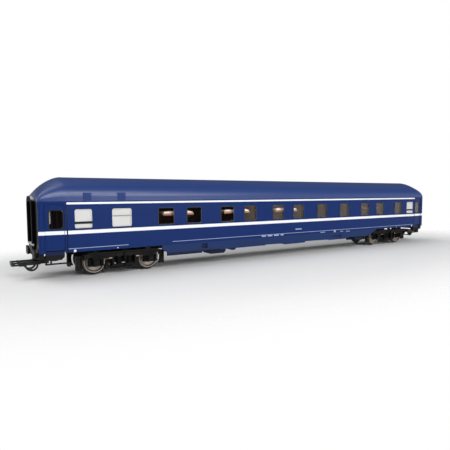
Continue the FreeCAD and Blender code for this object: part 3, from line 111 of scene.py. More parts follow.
def add_node(tree: Tree, kind: str, inputs: dict[Any, Any] | None = None,
             **settings: Any) -> bpy.types.Node:
    """Add one node with its settings and links.

    Args:
        tree: Node tree that gets the node.
        kind: Name of the node type.
        inputs: Socket name or number to a value, to the output socket that is linked to it, or to a node
            whose first output is linked to it.
        **settings: Properties of the node itself.

    Returns:
        The new node.
    """
    node = tree.nodes.new(kind)
    for name, value in settings.items():
        setattr(node, name, value)
    for key, value in (inputs or {}).items():
        source = value.outputs[0] if isinstance(value, bpy.types.Node) else value
        if isinstance(source, Socket):
            tree.links.new(source, node.inputs[key])
        else:
            node.inputs[key].default_value = source
    return node


def new_material(name: str) -> tuple[Material, Tree, Socket]:
    """Start a node material.

    Args:
        name: Plain name of the finish.

    Returns:
        The material, its node tree and the Object coordinates in it.
    """
    material = bpy.data.materials.new(name)
    material.use_nodes = True
    material.node_tree.nodes.clear()
    coords = add_node(material.node_tree, "ShaderNodeTexCoord").outputs["Object"]
    return material, material.node_tree, coords


@dataclass(frozen=True)
class Grain:
    """Fine pattern of a surface.

    Attributes:
        spacing: Distance between its features, in millimetres.
        shade: How much lighter or darker it makes the colour, as a share.
        gloss: How much it changes the roughness.
        height: Height of its relief, in millimetres.
    """

    spacing: float
    shade: float
    gloss: float
    height: float


@dataclass(frozen=True)
class Finish:
    """A moulded, printed or metal finish with a fine grain and a broad change of tone.

    Attributes:
        name: What the real finish is.
        colour: Its sRGB hex colour.
        roughness: Mean roughness.
        grain: Fine pattern of the surface.
        ior: Index of refraction. A metal keeps 1.5, the shader's own.
        metallic: 1 for bare metal.
        specular: Share of the mirror reflection that the surface keeps, where 0.5 is all of it.
        edge: sRGB hex colour of the highlight painted on sharp edges, or None.
        edge_share: How much of the painted edge highlight shows.
        relief: How strongly the grain's relief shows.
    """

    name: str
    colour: str
    roughness: float
    grain: Grain
    ior: float = 1.5
    metallic: float = 0.0
    specular: float = 0.5
    edge: str | None = None
    edge_share: float = 0.0
    relief: float = 0.6

    def base_colour(self, tree: Tree, coords: Socket, fine: Socket) -> Socket:
        """Mix the finish's colour with its broad and fine changes of tone, and with a highlight painted
        on its sharp edges where it has an edge colour.

        Args:
            tree: The material's nodes.
            coords: Object coordinates.
            fine: Factor of the fine grain.

        Returns:
            The colour socket for the shader.
        """
        broad = add_node(tree, "ShaderNodeTexNoise", {
            "Vector": coords, "Scale": 1 / (BROAD_TONE * MM), "Detail": 2.0}).outputs["Fac"]
        tone = add_node(tree, "ShaderNodeMath", {0: fine, 1: broad}, operation="ADD")
        lift = add_node(tree, "ShaderNodeMapRange", {
            "Value": tone, **TONE_SPAN, "To Min": 1 - self.grain.shade, "To Max": 1 + self.grain.shade})
        shaded = add_node(tree, "ShaderNodeVectorMath", {0: linear(self.colour)[:3], "Scale": lift},
                          operation="SCALE").outputs[0]
        if self.edge is None:
            return shaded
        # Sharp edges are painted lighter as a highlight.
        sharp = add_node(tree, "ShaderNodeNewGeometry").outputs["Pointiness"]
        edge_highlight = add_node(tree, "ShaderNodeMapRange", {
            "Value": sharp, **EDGE_SPAN, "To Min": 0.0, "To Max": self.edge_share})
        return add_node(tree, "ShaderNodeMix", {0: edge_highlight, 6: shaded, 7: linear(self.edge)},
                        data_type="RGBA").outputs[2]

    def build(self) -> Material:
        """Make the material.

        Returns:
            The node material, named for the finish.
        """
        material, tree, coords = new_material(self.name)
        fine = add_node(tree, "ShaderNodeTexNoise", {
            "Vector": coords, "Scale": 1 / (self.grain.spacing * MM), "Detail": 3.0}).outputs["Fac"]
        rough = add_node(tree, "ShaderNodeMapRange", {
            "Value": fine, **NOISE_SPAN,
            "To Min": self.roughness - self.grain.gloss, "To Max": self.roughness + self.grain.gloss})
        relief = add_node(tree, "ShaderNodeBump", {
            "Height": fine, "Strength": self.relief, "Distance": self.grain.height * MM})
        shader = add_node(tree, "ShaderNodeBsdfPrincipled", {
            "Base Color": self.base_colour(tree, coords, fine), "Roughness": rough, "Normal": relief,
            "Metallic": self.metallic, "IOR": self.ior, "Specular IOR Level": self.specular})
        add_node(tree, "ShaderNodeOutputMaterial", {"Surface": shader})
        return material


@dataclass(frozen=True)
class SideLacquerShadedEnds(Finish):
    """Side lacquer whose end walls are painted near-black as painted shade.

    Attributes:
        end_shade: sRGB hex colour of the painted shade on the end walls.
        end_place: Where the end walls begin, from the middle of the coach, in millimetres.
    """

    end_shade: str = "#0b0c11"
    end_place: float = 149.9

    def base_colour(self, tree: Tree, coords: Socket, fine: Socket) -> Socket:
        """Mix the side's blue with the painted shade of the end walls.

        Args:
            tree: The material's nodes.
            coords: Object coordinates.
            fine: Factor of the fine grain.

        Returns:
            The colour socket for the shader.
        """
        blue = super().base_colour(tree, coords, fine)
        # Past end_place the colour turns near-black, as painted shade on the end walls.
        place = add_node(tree, "ShaderNodeSeparateXYZ", {0: coords}).outputs["X"]
        reach = add_node(tree, "ShaderNodeMath", {0: place}, operation="ABSOLUTE")
        end = add_node(tree, "ShaderNodeMath", {0: reach, 1: self.end_place * MM},
                       operation="GREATER_THAN")
        return add_node(tree, "ShaderNodeMix", {0: end, 6: blue, 7: linear(self.end_shade)},
                        data_type="RGBA").outputs[2]


@dataclass(frozen=True)
class TopHighlighted(Finish):
    """A moulding whose upward faces are painted lighter as a highlight.

    Attributes:
        top: sRGB hex colour of the highlight painted on the upward faces.
        slope: Upward part of a face's direction, from where the painted highlight begins to where it is
            full.
    """

    top: str = "#b4b5b3"
    slope: tuple[float, float] = (0.5, 0.7)

    def base_colour(self, tree: Tree, coords: Socket, fine: Socket) -> Socket:
        """Mix the moulding's colour with the highlight painted on its upward faces.

        Args:
            tree: The material's nodes.
            coords: Object coordinates.
            fine: Factor of the fine grain.

        Returns:
            The colour socket for the shader.
        """
        sides = super().base_colour(tree, coords, fine)
        # Faces that point up are painted lighter as a highlight.
        facing = add_node(tree, "ShaderNodeNewGeometry").outputs["Normal"]
        upward = add_node(tree, "ShaderNodeSeparateXYZ", {0: facing}).outputs["Z"]
        share = add_node(tree, "ShaderNodeMapRange", {
            "Value": upward, "From Min": self.slope[0], "From Max": self.slope[1]})
        return add_node(tree, "ShaderNodeMix", {0: share, 6: sides, 7: linear(self.top)},
                        data_type="RGBA").outputs[2]


@dataclass(frozen=True)
class Patch:
    """One stretch of a long moulding in another colour, such as a print, a painted mattress and painted
    shade on the skirts.

    Attributes:
        place: Its middle along the coach, in millimetres.
        half: Half its length, in millimetres.
        height: Its middle over the flanges' lowest plane, in millimetres.
        half_height: Half its height, in millimetres.
        colour: Its sRGB hex colour.
    """

    place: float
    half: float
    height: float
    half_height: float
    colour: str


@dataclass(frozen=True)
class InkAndShadePatches(Finish):
    """Ink, paint and painted shade in stretches of other colours, one over the other.

    Attributes:
        patches: The stretches, the uppermost last.
    """

    patches: tuple[Patch, ...] = ()

    def base_colour(self, tree: Tree, coords: Socket, fine: Socket) -> Socket:
        """Lay the stretches over the ink's own colour.

        Args:
            tree: The material's nodes.
            coords: Object coordinates.
            fine: Factor of the fine grain.

        Returns:
            The colour socket for the shader.
        """
        colour = super().base_colour(tree, coords, fine)
        where = add_node(tree, "ShaderNodeSeparateXYZ", {0: coords}).outputs
        for patch in self.patches:
            along = add_node(tree, "ShaderNodeMath", {
                0: where["X"], 1: patch.place * MM, 2: patch.half * MM}, operation="COMPARE")
            up = add_node(tree, "ShaderNodeMath", {
                0: where["Z"], 1: patch.height * MM, 2: patch.half_height * MM}, operation="COMPARE")
            both = add_node(tree, "ShaderNodeMath", {0: along, 1: up}, operation="MULTIPLY")
            colour = add_node(tree, "ShaderNodeMix", {0: both, 6: colour, 7: linear(patch.colour)},
                              data_type="RGBA").outputs[2]
        return colour


@dataclass(frozen=True)
class ClearMoulding:
    """Clear polystyrene glazing: colourless, glossy, and very slightly wavy from the mould.

    Attributes:
        name: What the real finish is.
        colour: sRGB hex colour of the light that passes a strip.
        mirror: sRGB hex colour of what its faces mirror.
        roughness: Least and greatest roughness of its faces.
        ior: Index of refraction.
        wave: Distance between the mould's waves, in millimetres.
        height: Height of the waves, in millimetres.
        relief: How strongly they show.
    """

    name: str
    colour: str
    mirror: str = "#ffe6d2"
    roughness: tuple[float, float] = (0.009, 0.024)
    ior: float = 1.59
    wave: float = 4.0
    height: float = 0.0015
    relief: float = 0.5

    def build(self) -> Material:
        """Make the material.

        Returns:
            The node material, named for the finish.
        """
        material, tree, coords = new_material(self.name)
        wave = add_node(tree, "ShaderNodeTexNoise", {
            "Vector": coords, "Scale": 1 / (self.wave * MM)}).outputs["Fac"]
        relief = add_node(tree, "ShaderNodeBump", {
            "Height": wave, "Strength": self.relief, "Distance": self.height * MM})
        rough = add_node(tree, "ShaderNodeMapRange", {
            "Value": wave, **NOISE_SPAN, "To Min": self.roughness[0], "To Max": self.roughness[1]})
        shader = add_node(tree, "ShaderNodeBsdfPrincipled", {
            "Base Color": linear(self.colour), "Roughness": rough, "IOR": self.ior,
            "Specular Tint": linear(self.mirror), "Transmission Weight": 1.0, "Normal": relief})
        open_way = add_node(tree, "ShaderNodeBsdfTransparent", {"Color": linear(self.colour)})
        shadow_ray = add_node(tree, "ShaderNodeLightPath").outputs["Is Shadow Ray"]
        mixed = add_node(tree, "ShaderNodeMixShader", {0: shadow_ray, 1: shader, 2: open_way})
        add_node(tree, "ShaderNodeOutputMaterial", {"Surface": mixed})
        return material


@dataclass(frozen=True)
class TurnedWheel:
    """A blackened wheel whose outer face is turned bright, as rings about its axle; its inner faces take
    the hub's dark colour as painted shade.

    Attributes:
        name: What the real finish is.
        place: Middle of the axle along the coach, in millimetres.
        height: Middle of the axle over the flanges' lowest plane, in millimetres.
        hub: sRGB hex colour of the blackened hub, and of the painted shade on the inner faces.
        rim: sRGB hex colour of the turned outer face and tread.
        tarnish: sRGB hex colour of the turned face where it is tarnished.
        tarnish_spacing: Distance between the tarnished spots, in millimetres.
        hub_radius: Where the turned face begins, in millimetres.
        outer: Distance of the turned parts from the middle of the axle, in millimetres.
        groove: Radius of the dark groove between rim and web, in millimetres.
        half_groove: Half the groove's width, in millimetres.
        line: Distance between the lathe's lines, in millimetres.
        depth: Depth of the lines, in millimetres.
        relief: How strongly they show.
        roughness: Least and greatest roughness.
        metallic: How much of the turned face shines as metal.
    """

    name: str
    place: float
    height: float
    hub: str = "#161413"
    rim: str = "#b3a89e"
    tarnish: str = "#857a71"
    tarnish_spacing: float = 1.6
    hub_radius: float = 2.6
    outer: float = 8.1
    groove: float = 4.55
    half_groove: float = 0.22
    line: float = 0.22
    depth: float = 0.01
    relief: float = 0.25
    roughness: tuple[float, float] = (0.28, 0.42)
    metallic: float = 0.6

    def turned_part(self, tree: Tree, coords: Socket, radius: Socket) -> Socket:
        """Find the turned face: outside the inner faces, past the hub, and not in the groove. The inner
        faces stay dark as painted shade.

        Args:
            tree: The material's nodes.
            coords: Object coordinates.
            radius: Distance from the axle.

        Returns:
            1 on the turned face, and 0 elsewhere.
        """
        # The inner faces are left dark as painted shade.
        across = add_node(tree, "ShaderNodeSeparateXYZ", {0: coords}).outputs["Y"]
        reach = add_node(tree, "ShaderNodeMath", {0: across}, operation="ABSOLUTE")
        outside = add_node(tree, "ShaderNodeMath", {0: reach, 1: self.outer * MM},
                           operation="GREATER_THAN")
        past_hub = add_node(tree, "ShaderNodeMath", {0: radius, 1: self.hub_radius * MM},
                            operation="GREATER_THAN")
        groove = add_node(tree, "ShaderNodeMath", {
            0: radius, 1: self.groove * MM, 2: self.half_groove * MM}, operation="COMPARE")
        faced = add_node(tree, "ShaderNodeMath", {0: outside, 1: past_hub}, operation="MULTIPLY")
        return add_node(tree, "ShaderNodeMath", {0: faced, 1: groove}, operation="SUBTRACT",
                        use_clamp=True).outputs[0]

    def build(self) -> Material:
        """Make the material.

        Returns:
            The node material, named for the finish.
        """
        material, tree, coords = new_material(self.name)
        centred = add_node(tree, "ShaderNodeMapping", {
            "Vector": coords, "Location": (-self.place * MM, 0.0, -self.height * MM)})
        flat = add_node(tree, "ShaderNodeVectorMath", {0: centred, 1: (1.0, 0.0, 1.0)},
                        operation="MULTIPLY")
        radius = add_node(tree, "ShaderNodeVectorMath", {0: flat}, operation="LENGTH").outputs["Value"]
        bright = self.turned_part(tree, coords, radius)
        lines = add_node(tree, "ShaderNodeMath", {0: radius, 1: 2 * math.pi / (self.line * MM)},
                         operation="MULTIPLY")
        ripple = add_node(tree, "ShaderNodeMath", {0: lines}, operation="SINE")
        relief = add_node(tree, "ShaderNodeBump", {
            "Height": ripple, "Strength": self.relief, "Distance": self.depth * MM})
        spots = add_node(tree, "ShaderNodeTexNoise", {
            "Vector": coords, "Scale": 1 / (self.tarnish_spacing * MM), "Detail": 4.0}).outputs["Fac"]
        rim = add_node(tree, "ShaderNodeMix", {
            0: spots, 6: linear(self.rim), 7: linear(self.tarnish)}, data_type="RGBA").outputs[2]
        colour = add_node(tree, "ShaderNodeMix", {
            0: bright, 6: linear(self.hub), 7: rim}, data_type="RGBA").outputs[2]
        rough = add_node(tree, "ShaderNodeMapRange", {
            "Value": spots, **NOISE_SPAN, "To Min": self.roughness[0], "To Max": self.roughness[1]})
        metal = add_node(tree, "ShaderNodeMath", {0: bright, 1: self.metallic}, operation="MULTIPLY")
        shader = add_node(tree, "ShaderNodeBsdfPrincipled", {
            "Base Color": colour, "Roughness": rough, "Metallic": metal, "Normal": relief})
        add_node(tree, "ShaderNodeOutputMaterial", {"Surface": shader})
        return material


# Satin lacquer on moulded polystyrene: a smooth skin with faint orange peel, about 0.8 mm apart. Its real
# peel is finer, and is drawn this coarse so that it shows.
PEEL = Grain(spacing=0.8, shade=0.05, gloss=0.05, height=0.006)
# The roof's lacquer flows out smoother than the side's.
SMOOTH = Grain(spacing=2.5, shade=0.02, gloss=0.02, height=0.001)
# Matt plastic straight from a spark-eroded mould: an even fine stipple.
STIPPLE = Grain(spacing=0.5, shade=0.14, gloss=0.07, height=0.02)
# Printed silver ink: fine flakes, drawn coarser than they are.
FLAKE = Grain(spacing=0.3, shade=0.10, gloss=0.08, height=0.004)

# Silver ink of the window frames.
FRAME_INK = "#3d4146"

FINISHES: dict[str, Finish | ClearMoulding] = {
    # Blue lacquer over blue polystyrene: deep and satin, with a soft mirror at a low angle. The end walls
    # are painted near-black as painted shade.
    "body_blue": SideLacquerShadedEnds("satin blue lacquer", "#112a62", 0.36, PEEL, ior=1.46, specular=0.14),
    # The roof is sprayed a greyer blue, and its shoulder takes a soft bright band.
    "roof_blue": Finish("silk grey-blue lacquer", "#213a74", 0.36, SMOOTH, specular=0.6),
    # Clear polystyrene: nearly black from outside over the dark rooms.
    "window_clear": ClearMoulding("clear polystyrene", "#f0ece8"),
    # White panes are opal polystyrene: soft and even.
    "window_white": Finish("opal white polystyrene", "#cfcfcd", 0.5, Grain(1.2, 0.03, 0.06, 0.006)),
    # Window frames are printed in silver, which lies dark beside the panes.
    "frame_silver": Finish("silver printing ink", FRAME_INK, 0.45, FLAKE, metallic=0.5, specular=0.25),
    # End doors are bare grey plastic, dull and even.
    "end_grey": Finish("grey moulded polystyrene", "#5c6066", 0.5, STIPPLE),
    # Footplates are a lighter grey, and stand out before the black tubes.
    "plate_grey": Finish("light grey moulded polystyrene", "#b9bab6", 0.5, STIPPLE),
    # Gangway tubes imitate rubber: black, with a light grey highlight painted on their upper sides.
    "gangway_black": TopHighlighted("black rubber-effect moulding", "#010102", 0.65, STIPPLE, specular=0.06),
    # The inside is dull dark brown plastic, which hardly shows through the panes.
    "inside_brown": Finish("brown inside moulding", "#2c140e", 0.6, STIPPLE),
    # Berths are dark red mouldings. The mattresses of the upper ones are painted skin-coloured.
    "berth_cream": InkAndShadePatches("made-up berth", "#541f14", 0.6, Grain(1.2, 0.04, 0.08, 0.05),
                              patches=(Patch(-50.0, 62.0, 29.8, 0.55, "#a67866"),)),
    # Axles are turned from steel: bright, with fine rings that blur what they mirror.
    "axle_steel": Finish("bright turned steel", "#a3a09a", 0.3, Grain(0.4, 0.08, 0.06, 0.003),
                         metallic=1.0),
    # Acetal shines a little, and its edges get a painted highlight.
    "coupler_black": Finish("black acetal moulding", "#0d0d0e", 0.4, STIPPLE, specular=0.3,
                            edge="#303030", edge_share=0.4),
    # Bogies and underframe are left matt, with a brownish highlight painted on their edges.
    "chassis_black": Finish("matt black moulding", "#040404", 0.5, STIPPLE, specular=0.13,
                            edge="#22201e", edge_share=0.5),
}
# Nodes that differ from the rest of their slot.
NODE_FINISHES: dict[str, Finish] = {
    # Hatches are left in the side's duller blue, without the roof's sheen.
    "roof_hatches": Finish("matt blue lacquer", "#2a3c72", 0.6, PEEL, specular=0.15),
    # Skirts and the panels under the doors are coloured plastic without lacquer. Painted shade darkens
    # the skirts' recesses, one stretch of their lower edge, and the door panels.
    # The dark patches are painted shade in the recesses and along one lower edge.
    "side_skirts": InkAndShadePatches("blue moulded polystyrene", "#152d5b", 0.5, STIPPLE, specular=0.2, patches=(
        Patch(-63.15, 1.85, 11.3, 1.4, "#0a1534"), Patch(45.5, 4.0, 10.5, 0.9, "#13244a"),
        Patch(-70.0, 17.0, 8.0, 0.9, "#0d162c"))),
    # The panels under the doors are painted a darker blue than the sides as painted shade.
    "step_panels": Finish("blue moulding in painted shade", "#0d1a3e", 0.5, STIPPLE, specular=0.2),
    "equipment_boxes": Finish("dark blue underfloor moulding", "#0a1228", 0.5, STIPPLE, specular=0.2),
}
# White pad printing on the blue lacquer: opaque, a little glossier than the lacquer's own tone.
PRINT_WHITE = Finish("white pad printing", "#eceef0", 0.42, Grain(0.6, 0.02, 0.04, 0.002))
PRINT_GREY = Finish("pale blue-grey pad printing", "#9aa6c2", 0.45, Grain(0.6, 0.03, 0.04, 0.002))
# Dark seal that is pressed in beside the end doors.
SEAL_DARK = Finish("dark blue door seal", "#061333", 0.5, Grain(0.5, 0.08, 0.05, 0.004), specular=0.2)
# Brake rods are left in bare beige plastic.
ROD_BEIGE = Finish("beige acetal moulding", "#b3a690", 0.45, STIPPLE)
# Sheets and pillows are painted white, without gloss.
BED_WHITE = Finish("matt white bedding paint", "#fffaf2", 0.7, Grain(0.9, 0.03, 0.06, 0.02),
                   specular=0.2)
# Dark rim that is printed round the window of a side door.
DOOR_RIM = Finish("dark door rim", "#1b2238", 0.45, FLAKE, specular=0.2)


@dataclass(frozen=True)
class WashroomRim:
    """Near-white rim of a washroom window, with a bar across it and a dark foot.

    Attributes:
        place: Its middle along the coach, in millimetres.
        half: Half its width, in millimetres.
        bar: Middle of the bar over the flanges' lowest plane, in millimetres.
        half_bar: Half the bar's height, in millimetres.
        bar_colour: sRGB hex colour of the bar.
        rim: Middle and half the height of the rim, in millimetres.
        foot: Middle and half the height of the foot, in millimetres.
        edge: How far the bar stays inside the rim, in millimetres.
        white: sRGB hex colour of the rim.
        dark: sRGB hex colour of the foot.
    """

    place: float
    half: float = 4.6
    bar: float = 27.1
    half_bar: float = 0.62
    bar_colour: str = "#1d2126"
    rim: tuple[float, float] = (29.0, 5.5)
    foot: tuple[float, float] = (24.0, 0.55)
    edge: float = 0.35
    white: str = "#cfcfce"
    dark: str = "#1d2126"

    def patches(self) -> tuple[Patch, ...]:
        """Lay out the rim.

        Returns:
            The white rim, then the bar and the foot over it.
        """
        return (Patch(self.place, self.half, *self.rim, self.white),
                Patch(self.place, self.half - self.edge, self.bar, self.half_bar, self.bar_colour),
                Patch(self.place, self.half, *self.foot, self.dark))


# The larger washroom window has a thin grey bar.
WASHROOM_RIMS: dict[str, tuple[WashroomRim, ...]] = {
    "window_frames_right": (WashroomRim(-129.9), WashroomRim(-111.0, 5.5, 29.9, 0.25, "#a3a3a1"),
                            WashroomRim(130.7)),
    "window_frames_left": (WashroomRim(-130.7), WashroomRim(130.7)),
}


def window_ink(node: str) -> InkAndShadePatches:
    """Choose the ink of a side's window frames, with the rims of its washroom windows.

    Args:
        node: Name of the side's window frames.

    Returns:
        The ink.
    """
    patches = sum((rim.patches() for rim in WASHROOM_RIMS[node]), ())
    return InkAndShadePatches(f"printed rims {node.rpartition('_')[2]}", FRAME_INK, 0.45, FLAKE, metallic=0.2,
                      specular=0.25, patches=patches)


def dress(piece: Piece, material: Material) -> None:
    """Give a piece one material in each of its slots.

    Args:
        piece: Mesh object.
        material: Material for every slot.
    """
    if not piece.material_slots:
        piece.data.materials.append(material)
    for slot in piece.material_slots:
        slot.material = material


# ---- mesh tools, in millimetres ------------------------------------------------------------------------


class Corner(Enum):
    """Corner of the coach that a copy goes to, by the signs that its X and Y are multiplied by."""

    SAME = (1.0, 1.0)
    OTHER_SIDE = (1.0, -1.0)
    OTHER_END = (-1.0, 1.0)
    OPPOSITE = (-1.0, -1.0)


def in_metres(values: tuple[float, ...]) -> list[float]:
    """Turn millimetres into metres."""
    return [value * MM for value in values]


def deselect_all() -> None:
    """Leave no object selected."""
    bpy.ops.object.select_all(action="DESELECT")


def make_active(piece: Piece) -> None:
    """Select one piece alone, and make it the active one.

    Args:
        piece: The piece.
    """
    deselect_all()
    piece.select_set(True)
    bpy.context.view_layer.objects.active = piece


def new_piece(scale: Triple | None = None) -> Piece:
    """Take the piece that was just added, and move its place, turn and scale into its mesh.

    Args:
        scale: Scale that it gets first, or None.

    Returns:
        The piece.
    """
    piece = bpy.context.object
    if scale is not None:
        piece.scale = scale
    make_active(piece)
    bpy.ops.object.transform_apply(location=True, rotation=True, scale=True)
    return piece


def start_editing(piece: Piece) -> None:
    """Go into edit mode with a piece's whole mesh selected.

    Args:
        piece: The piece.
    """
    make_active(piece)
    bpy.ops.object.mode_set(mode="EDIT")
    bpy.ops.mesh.select_all(action="SELECT")


def stop_editing() -> None:
    """Turn all faces outwards, and leave edit mode."""
    bpy.ops.mesh.select_all(action="SELECT")
    bpy.ops.mesh.normals_make_consistent(inside=False)
    bpy.ops.object.mode_set(mode="OBJECT")


def moved(part: Piece, corner: Corner = Corner.SAME, shift: float = 0.0) -> Piece:
    """Move a part to another corner of the coach, or along the coach.

    Args:
        part: Mesh object in place.
        corner: Corner of the coach that it goes to.
        shift: How far it is moved along the coach.

    Returns:
        The same part, with its faces turned outwards.
    """
    make_active(part)
    part.location.x = shift * MM
    new_piece((*corner.value, 1.0))
    start_editing(part)
    stop_editing()
    return part


def copy_of(part: Piece, corner: Corner = Corner.SAME, shift: float = 0.0) -> Piece:
    """Copy a part with a mesh of its own, and move the copy.

    Args:
        part: Mesh object in place.
        corner: Corner of the coach that the copy goes to.
        shift: How far the copy is moved along the coach.

    Returns:
        The copy.
    """
    make_active(part)
    bpy.ops.object.duplicate(linked=False)
    return moved(bpy.context.object, corner, shift)


def at_corners(part: Piece) -> list[Piece]:
    """Copy a part of the near right corner to the other three.

    Args:
        part: Mesh object in place.

    Returns:
        The part and its copies.
    """
    return [part, *(copy_of(part, corner) for corner in Corner if corner is not Corner.SAME)]


def flat_sheet(middle: float, height: float, length: float, width: float) -> Piece:
    """Make an upright sheet in the middle plane of the coach.

    Args:
        middle: Its middle along the coach.
        height: Its middle over the flanges' lowest plane.
        length: Its length.
        width: Its width.

    Returns:
        The sheet.
    """
    deselect_all()
    bpy.ops.mesh.primitive_plane_add(size=1.0, location=in_metres((middle, 0.0, height)),
                                     rotation=(QUARTER, 0.0, 0.0))
    return new_piece((length * MM, width * MM, 1.0))


def raise_film(film: float) -> None:
    """Raise the sheet in edit mode to the right, by the thickness of a film."""
    bpy.ops.mesh.extrude_region_move(TRANSFORM_OT_translate={"value": (0.0, -film * MM, 0.0)})


def round_edges(piece: Piece, width: float, segments: int) -> None:
    """Round all sharp edges of a piece.

    Args:
        piece: Mesh object in place.
        width: Radius of its edges.
        segments: Number of steps in an edge.
    """
    bevel = piece.modifiers.new("soft edge", "BEVEL")
    bevel.width = width * MM
    bevel.segments = segments
    make_active(piece)
    bpy.ops.object.modifier_apply(modifier=bevel.name)


def soft_block(middle: Triple, size: Triple, edge: float, segments: int) -> Piece:
    """Make a block with round edges.

    Args:
        middle: Its middle.
        size: Its size along X, Y and Z.
        edge: Radius of its edges.
        segments: Number of steps in an edge.

    Returns:
        The block.
    """
    deselect_all()
    bpy.ops.mesh.primitive_cube_add(size=1.0, location=in_metres(middle))
    block = new_piece(tuple(in_metres(size)))
    round_edges(block, edge, segments)
    return block


def soft_rod(middle: Triple, radius: float, length: float, turn: Triple, steps: int,
             edge: float) -> Piece:
    """Make a round rod with round edges.

    Args:
        middle: Its middle.
        radius: Its radius.
        length: Its length.
        turn: How it is turned from standing upright.
        steps: Number of steps round it.
        edge: Radius of its edges.

    Returns:
        The rod.
    """
    deselect_all()
    bpy.ops.mesh.primitive_cylinder_add(vertices=steps, radius=radius * MM, depth=length * MM,
                                        location=in_metres(middle), rotation=turn)
    rod = new_piece()
    round_edges(rod, edge, segments=3)
    return rod


def finish_piece(parts: list[Piece], name: str, material: Material, body: str) -> None:
    """Join parts into one finished piece, and let it ride on its body.

    Args:
        parts: Two or more mesh objects in place.
        name: Name of the piece.
        material: Its material.
        body: CAD body that it moves with.
    """
    make_active(parts[0])
    for part in parts:
        part.select_set(True)
    bpy.ops.object.join()
    piece = bpy.context.object
    piece.name = piece.data.name = name
    piece.data.materials.clear()
    piece.data.materials.append(material)
    make_active(piece)
    bpy.ops.object.shade_smooth_by_angle(angle=SMOOTH_ANGLE)
    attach(piece, body)
    log.info("%s: %d faces, rides on %s", piece.name, len(piece.data.polygons), body)


# ---- the coach's own details, in millimetres -----------------------------------------------------------


@dataclass(frozen=True)
class BodyShape:
    """Outline of the coach's side walls that printed details follow.

    Attributes:
        half_length: Middle of the coach to an end wall.
        half_width: Middle of the coach to a side wall's face.
        taper_start: Where the drawn-in part of a side begins.
        taper_depth: How far a side is drawn in at the end wall.
        door_place: Middle of a side door.
        door_width: Side door opening.
        door_inset: How far the door stands back.
    """

    half_length: float
    half_width: float
    taper_start: float = 137.7
    taper_depth: float = 0.9
    door_place: float = 142.8
    door_width: float = 8.6
    door_inset: float = 0.35

    def lay_on(self, piece: Piece, inset: float = 0.0) -> Piece:
        """Move a flat piece out to the right side wall, and bend it with the wall's drawn-in ends.

        Args:
            piece: Piece in the middle plane of the coach.
            inset: How far the face under it stands back from the side wall.

        Returns:
            The same piece.
        """
        for vertex in piece.data.vertices:
            past = max(0.0, abs(vertex.co.x) / MM - self.taper_start)
            drawn_in = self.taper_depth * past / (self.half_length - self.taper_start)
            vertex.co.y -= (self.half_width - drawn_in - inset) * MM
        return piece


# The one outline that all details share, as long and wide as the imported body.
SHAPE = BodyShape(*box_of("body_shell")[1][:2])


@dataclass
class PrintedStripe:
    """One printed line along both sides of the coach, bent with the drawn-in ends.

    Attributes:
        name: Name of the piece.
        height: Middle of the line over the flanges' lowest plane.
        width: Width of the line.
        runs: Left and right end of each stretch on the side wall, as seen on the right side.
        on_doors: True where the line goes on over the side doors.
        film: Thickness of the ink, drawn thick enough to have edges.
        door_edge: How far the line stays inside a door's edges.
    """

    name: str
    height: float
    width: float
    runs: tuple[tuple[float, float], ...]
    on_doors: bool = False
    film: float = 0.03
    door_edge: float = 0.12

    def strip(self, left: float, right: float, inset: float = 0.0) -> Piece:
        """Make one stretch of the line on the right side.

        Args:
            left: Its end towards -X.
            right: Its end towards +X.
            inset: How far the face under it stands back from the side wall.

        Returns:
            The strip in place.
        """
        strip = flat_sheet((left + right) / 2, self.height, right - left, self.width)
        start_editing(strip)
        for bend in (-SHAPE.taper_start, SHAPE.taper_start):
            if left < bend < right:
                bpy.ops.mesh.bisect(plane_co=(bend * MM, 0.0, 0.0), plane_no=(1.0, 0.0, 0.0))
                bpy.ops.mesh.select_all(action="SELECT")
        raise_film(self.film)
        stop_editing()
        return SHAPE.lay_on(strip, inset)

    def build(self, material: Material) -> None:
        """Make the whole line on both sides.

        Args:
            material: Printing ink.
        """
        strips = [self.strip(left, right) for left, right in self.runs]
        if self.on_doors:
            half = SHAPE.door_width / 2 - self.door_edge
            strips += [self.strip(middle - half, middle + half, SHAPE.door_inset)
                       for middle in (-SHAPE.door_place, SHAPE.door_place)]
        strips += [copy_of(strip, Corner.OTHER_SIDE) for strip in strips]
        finish_piece(strips, self.name, material, "coach_body")


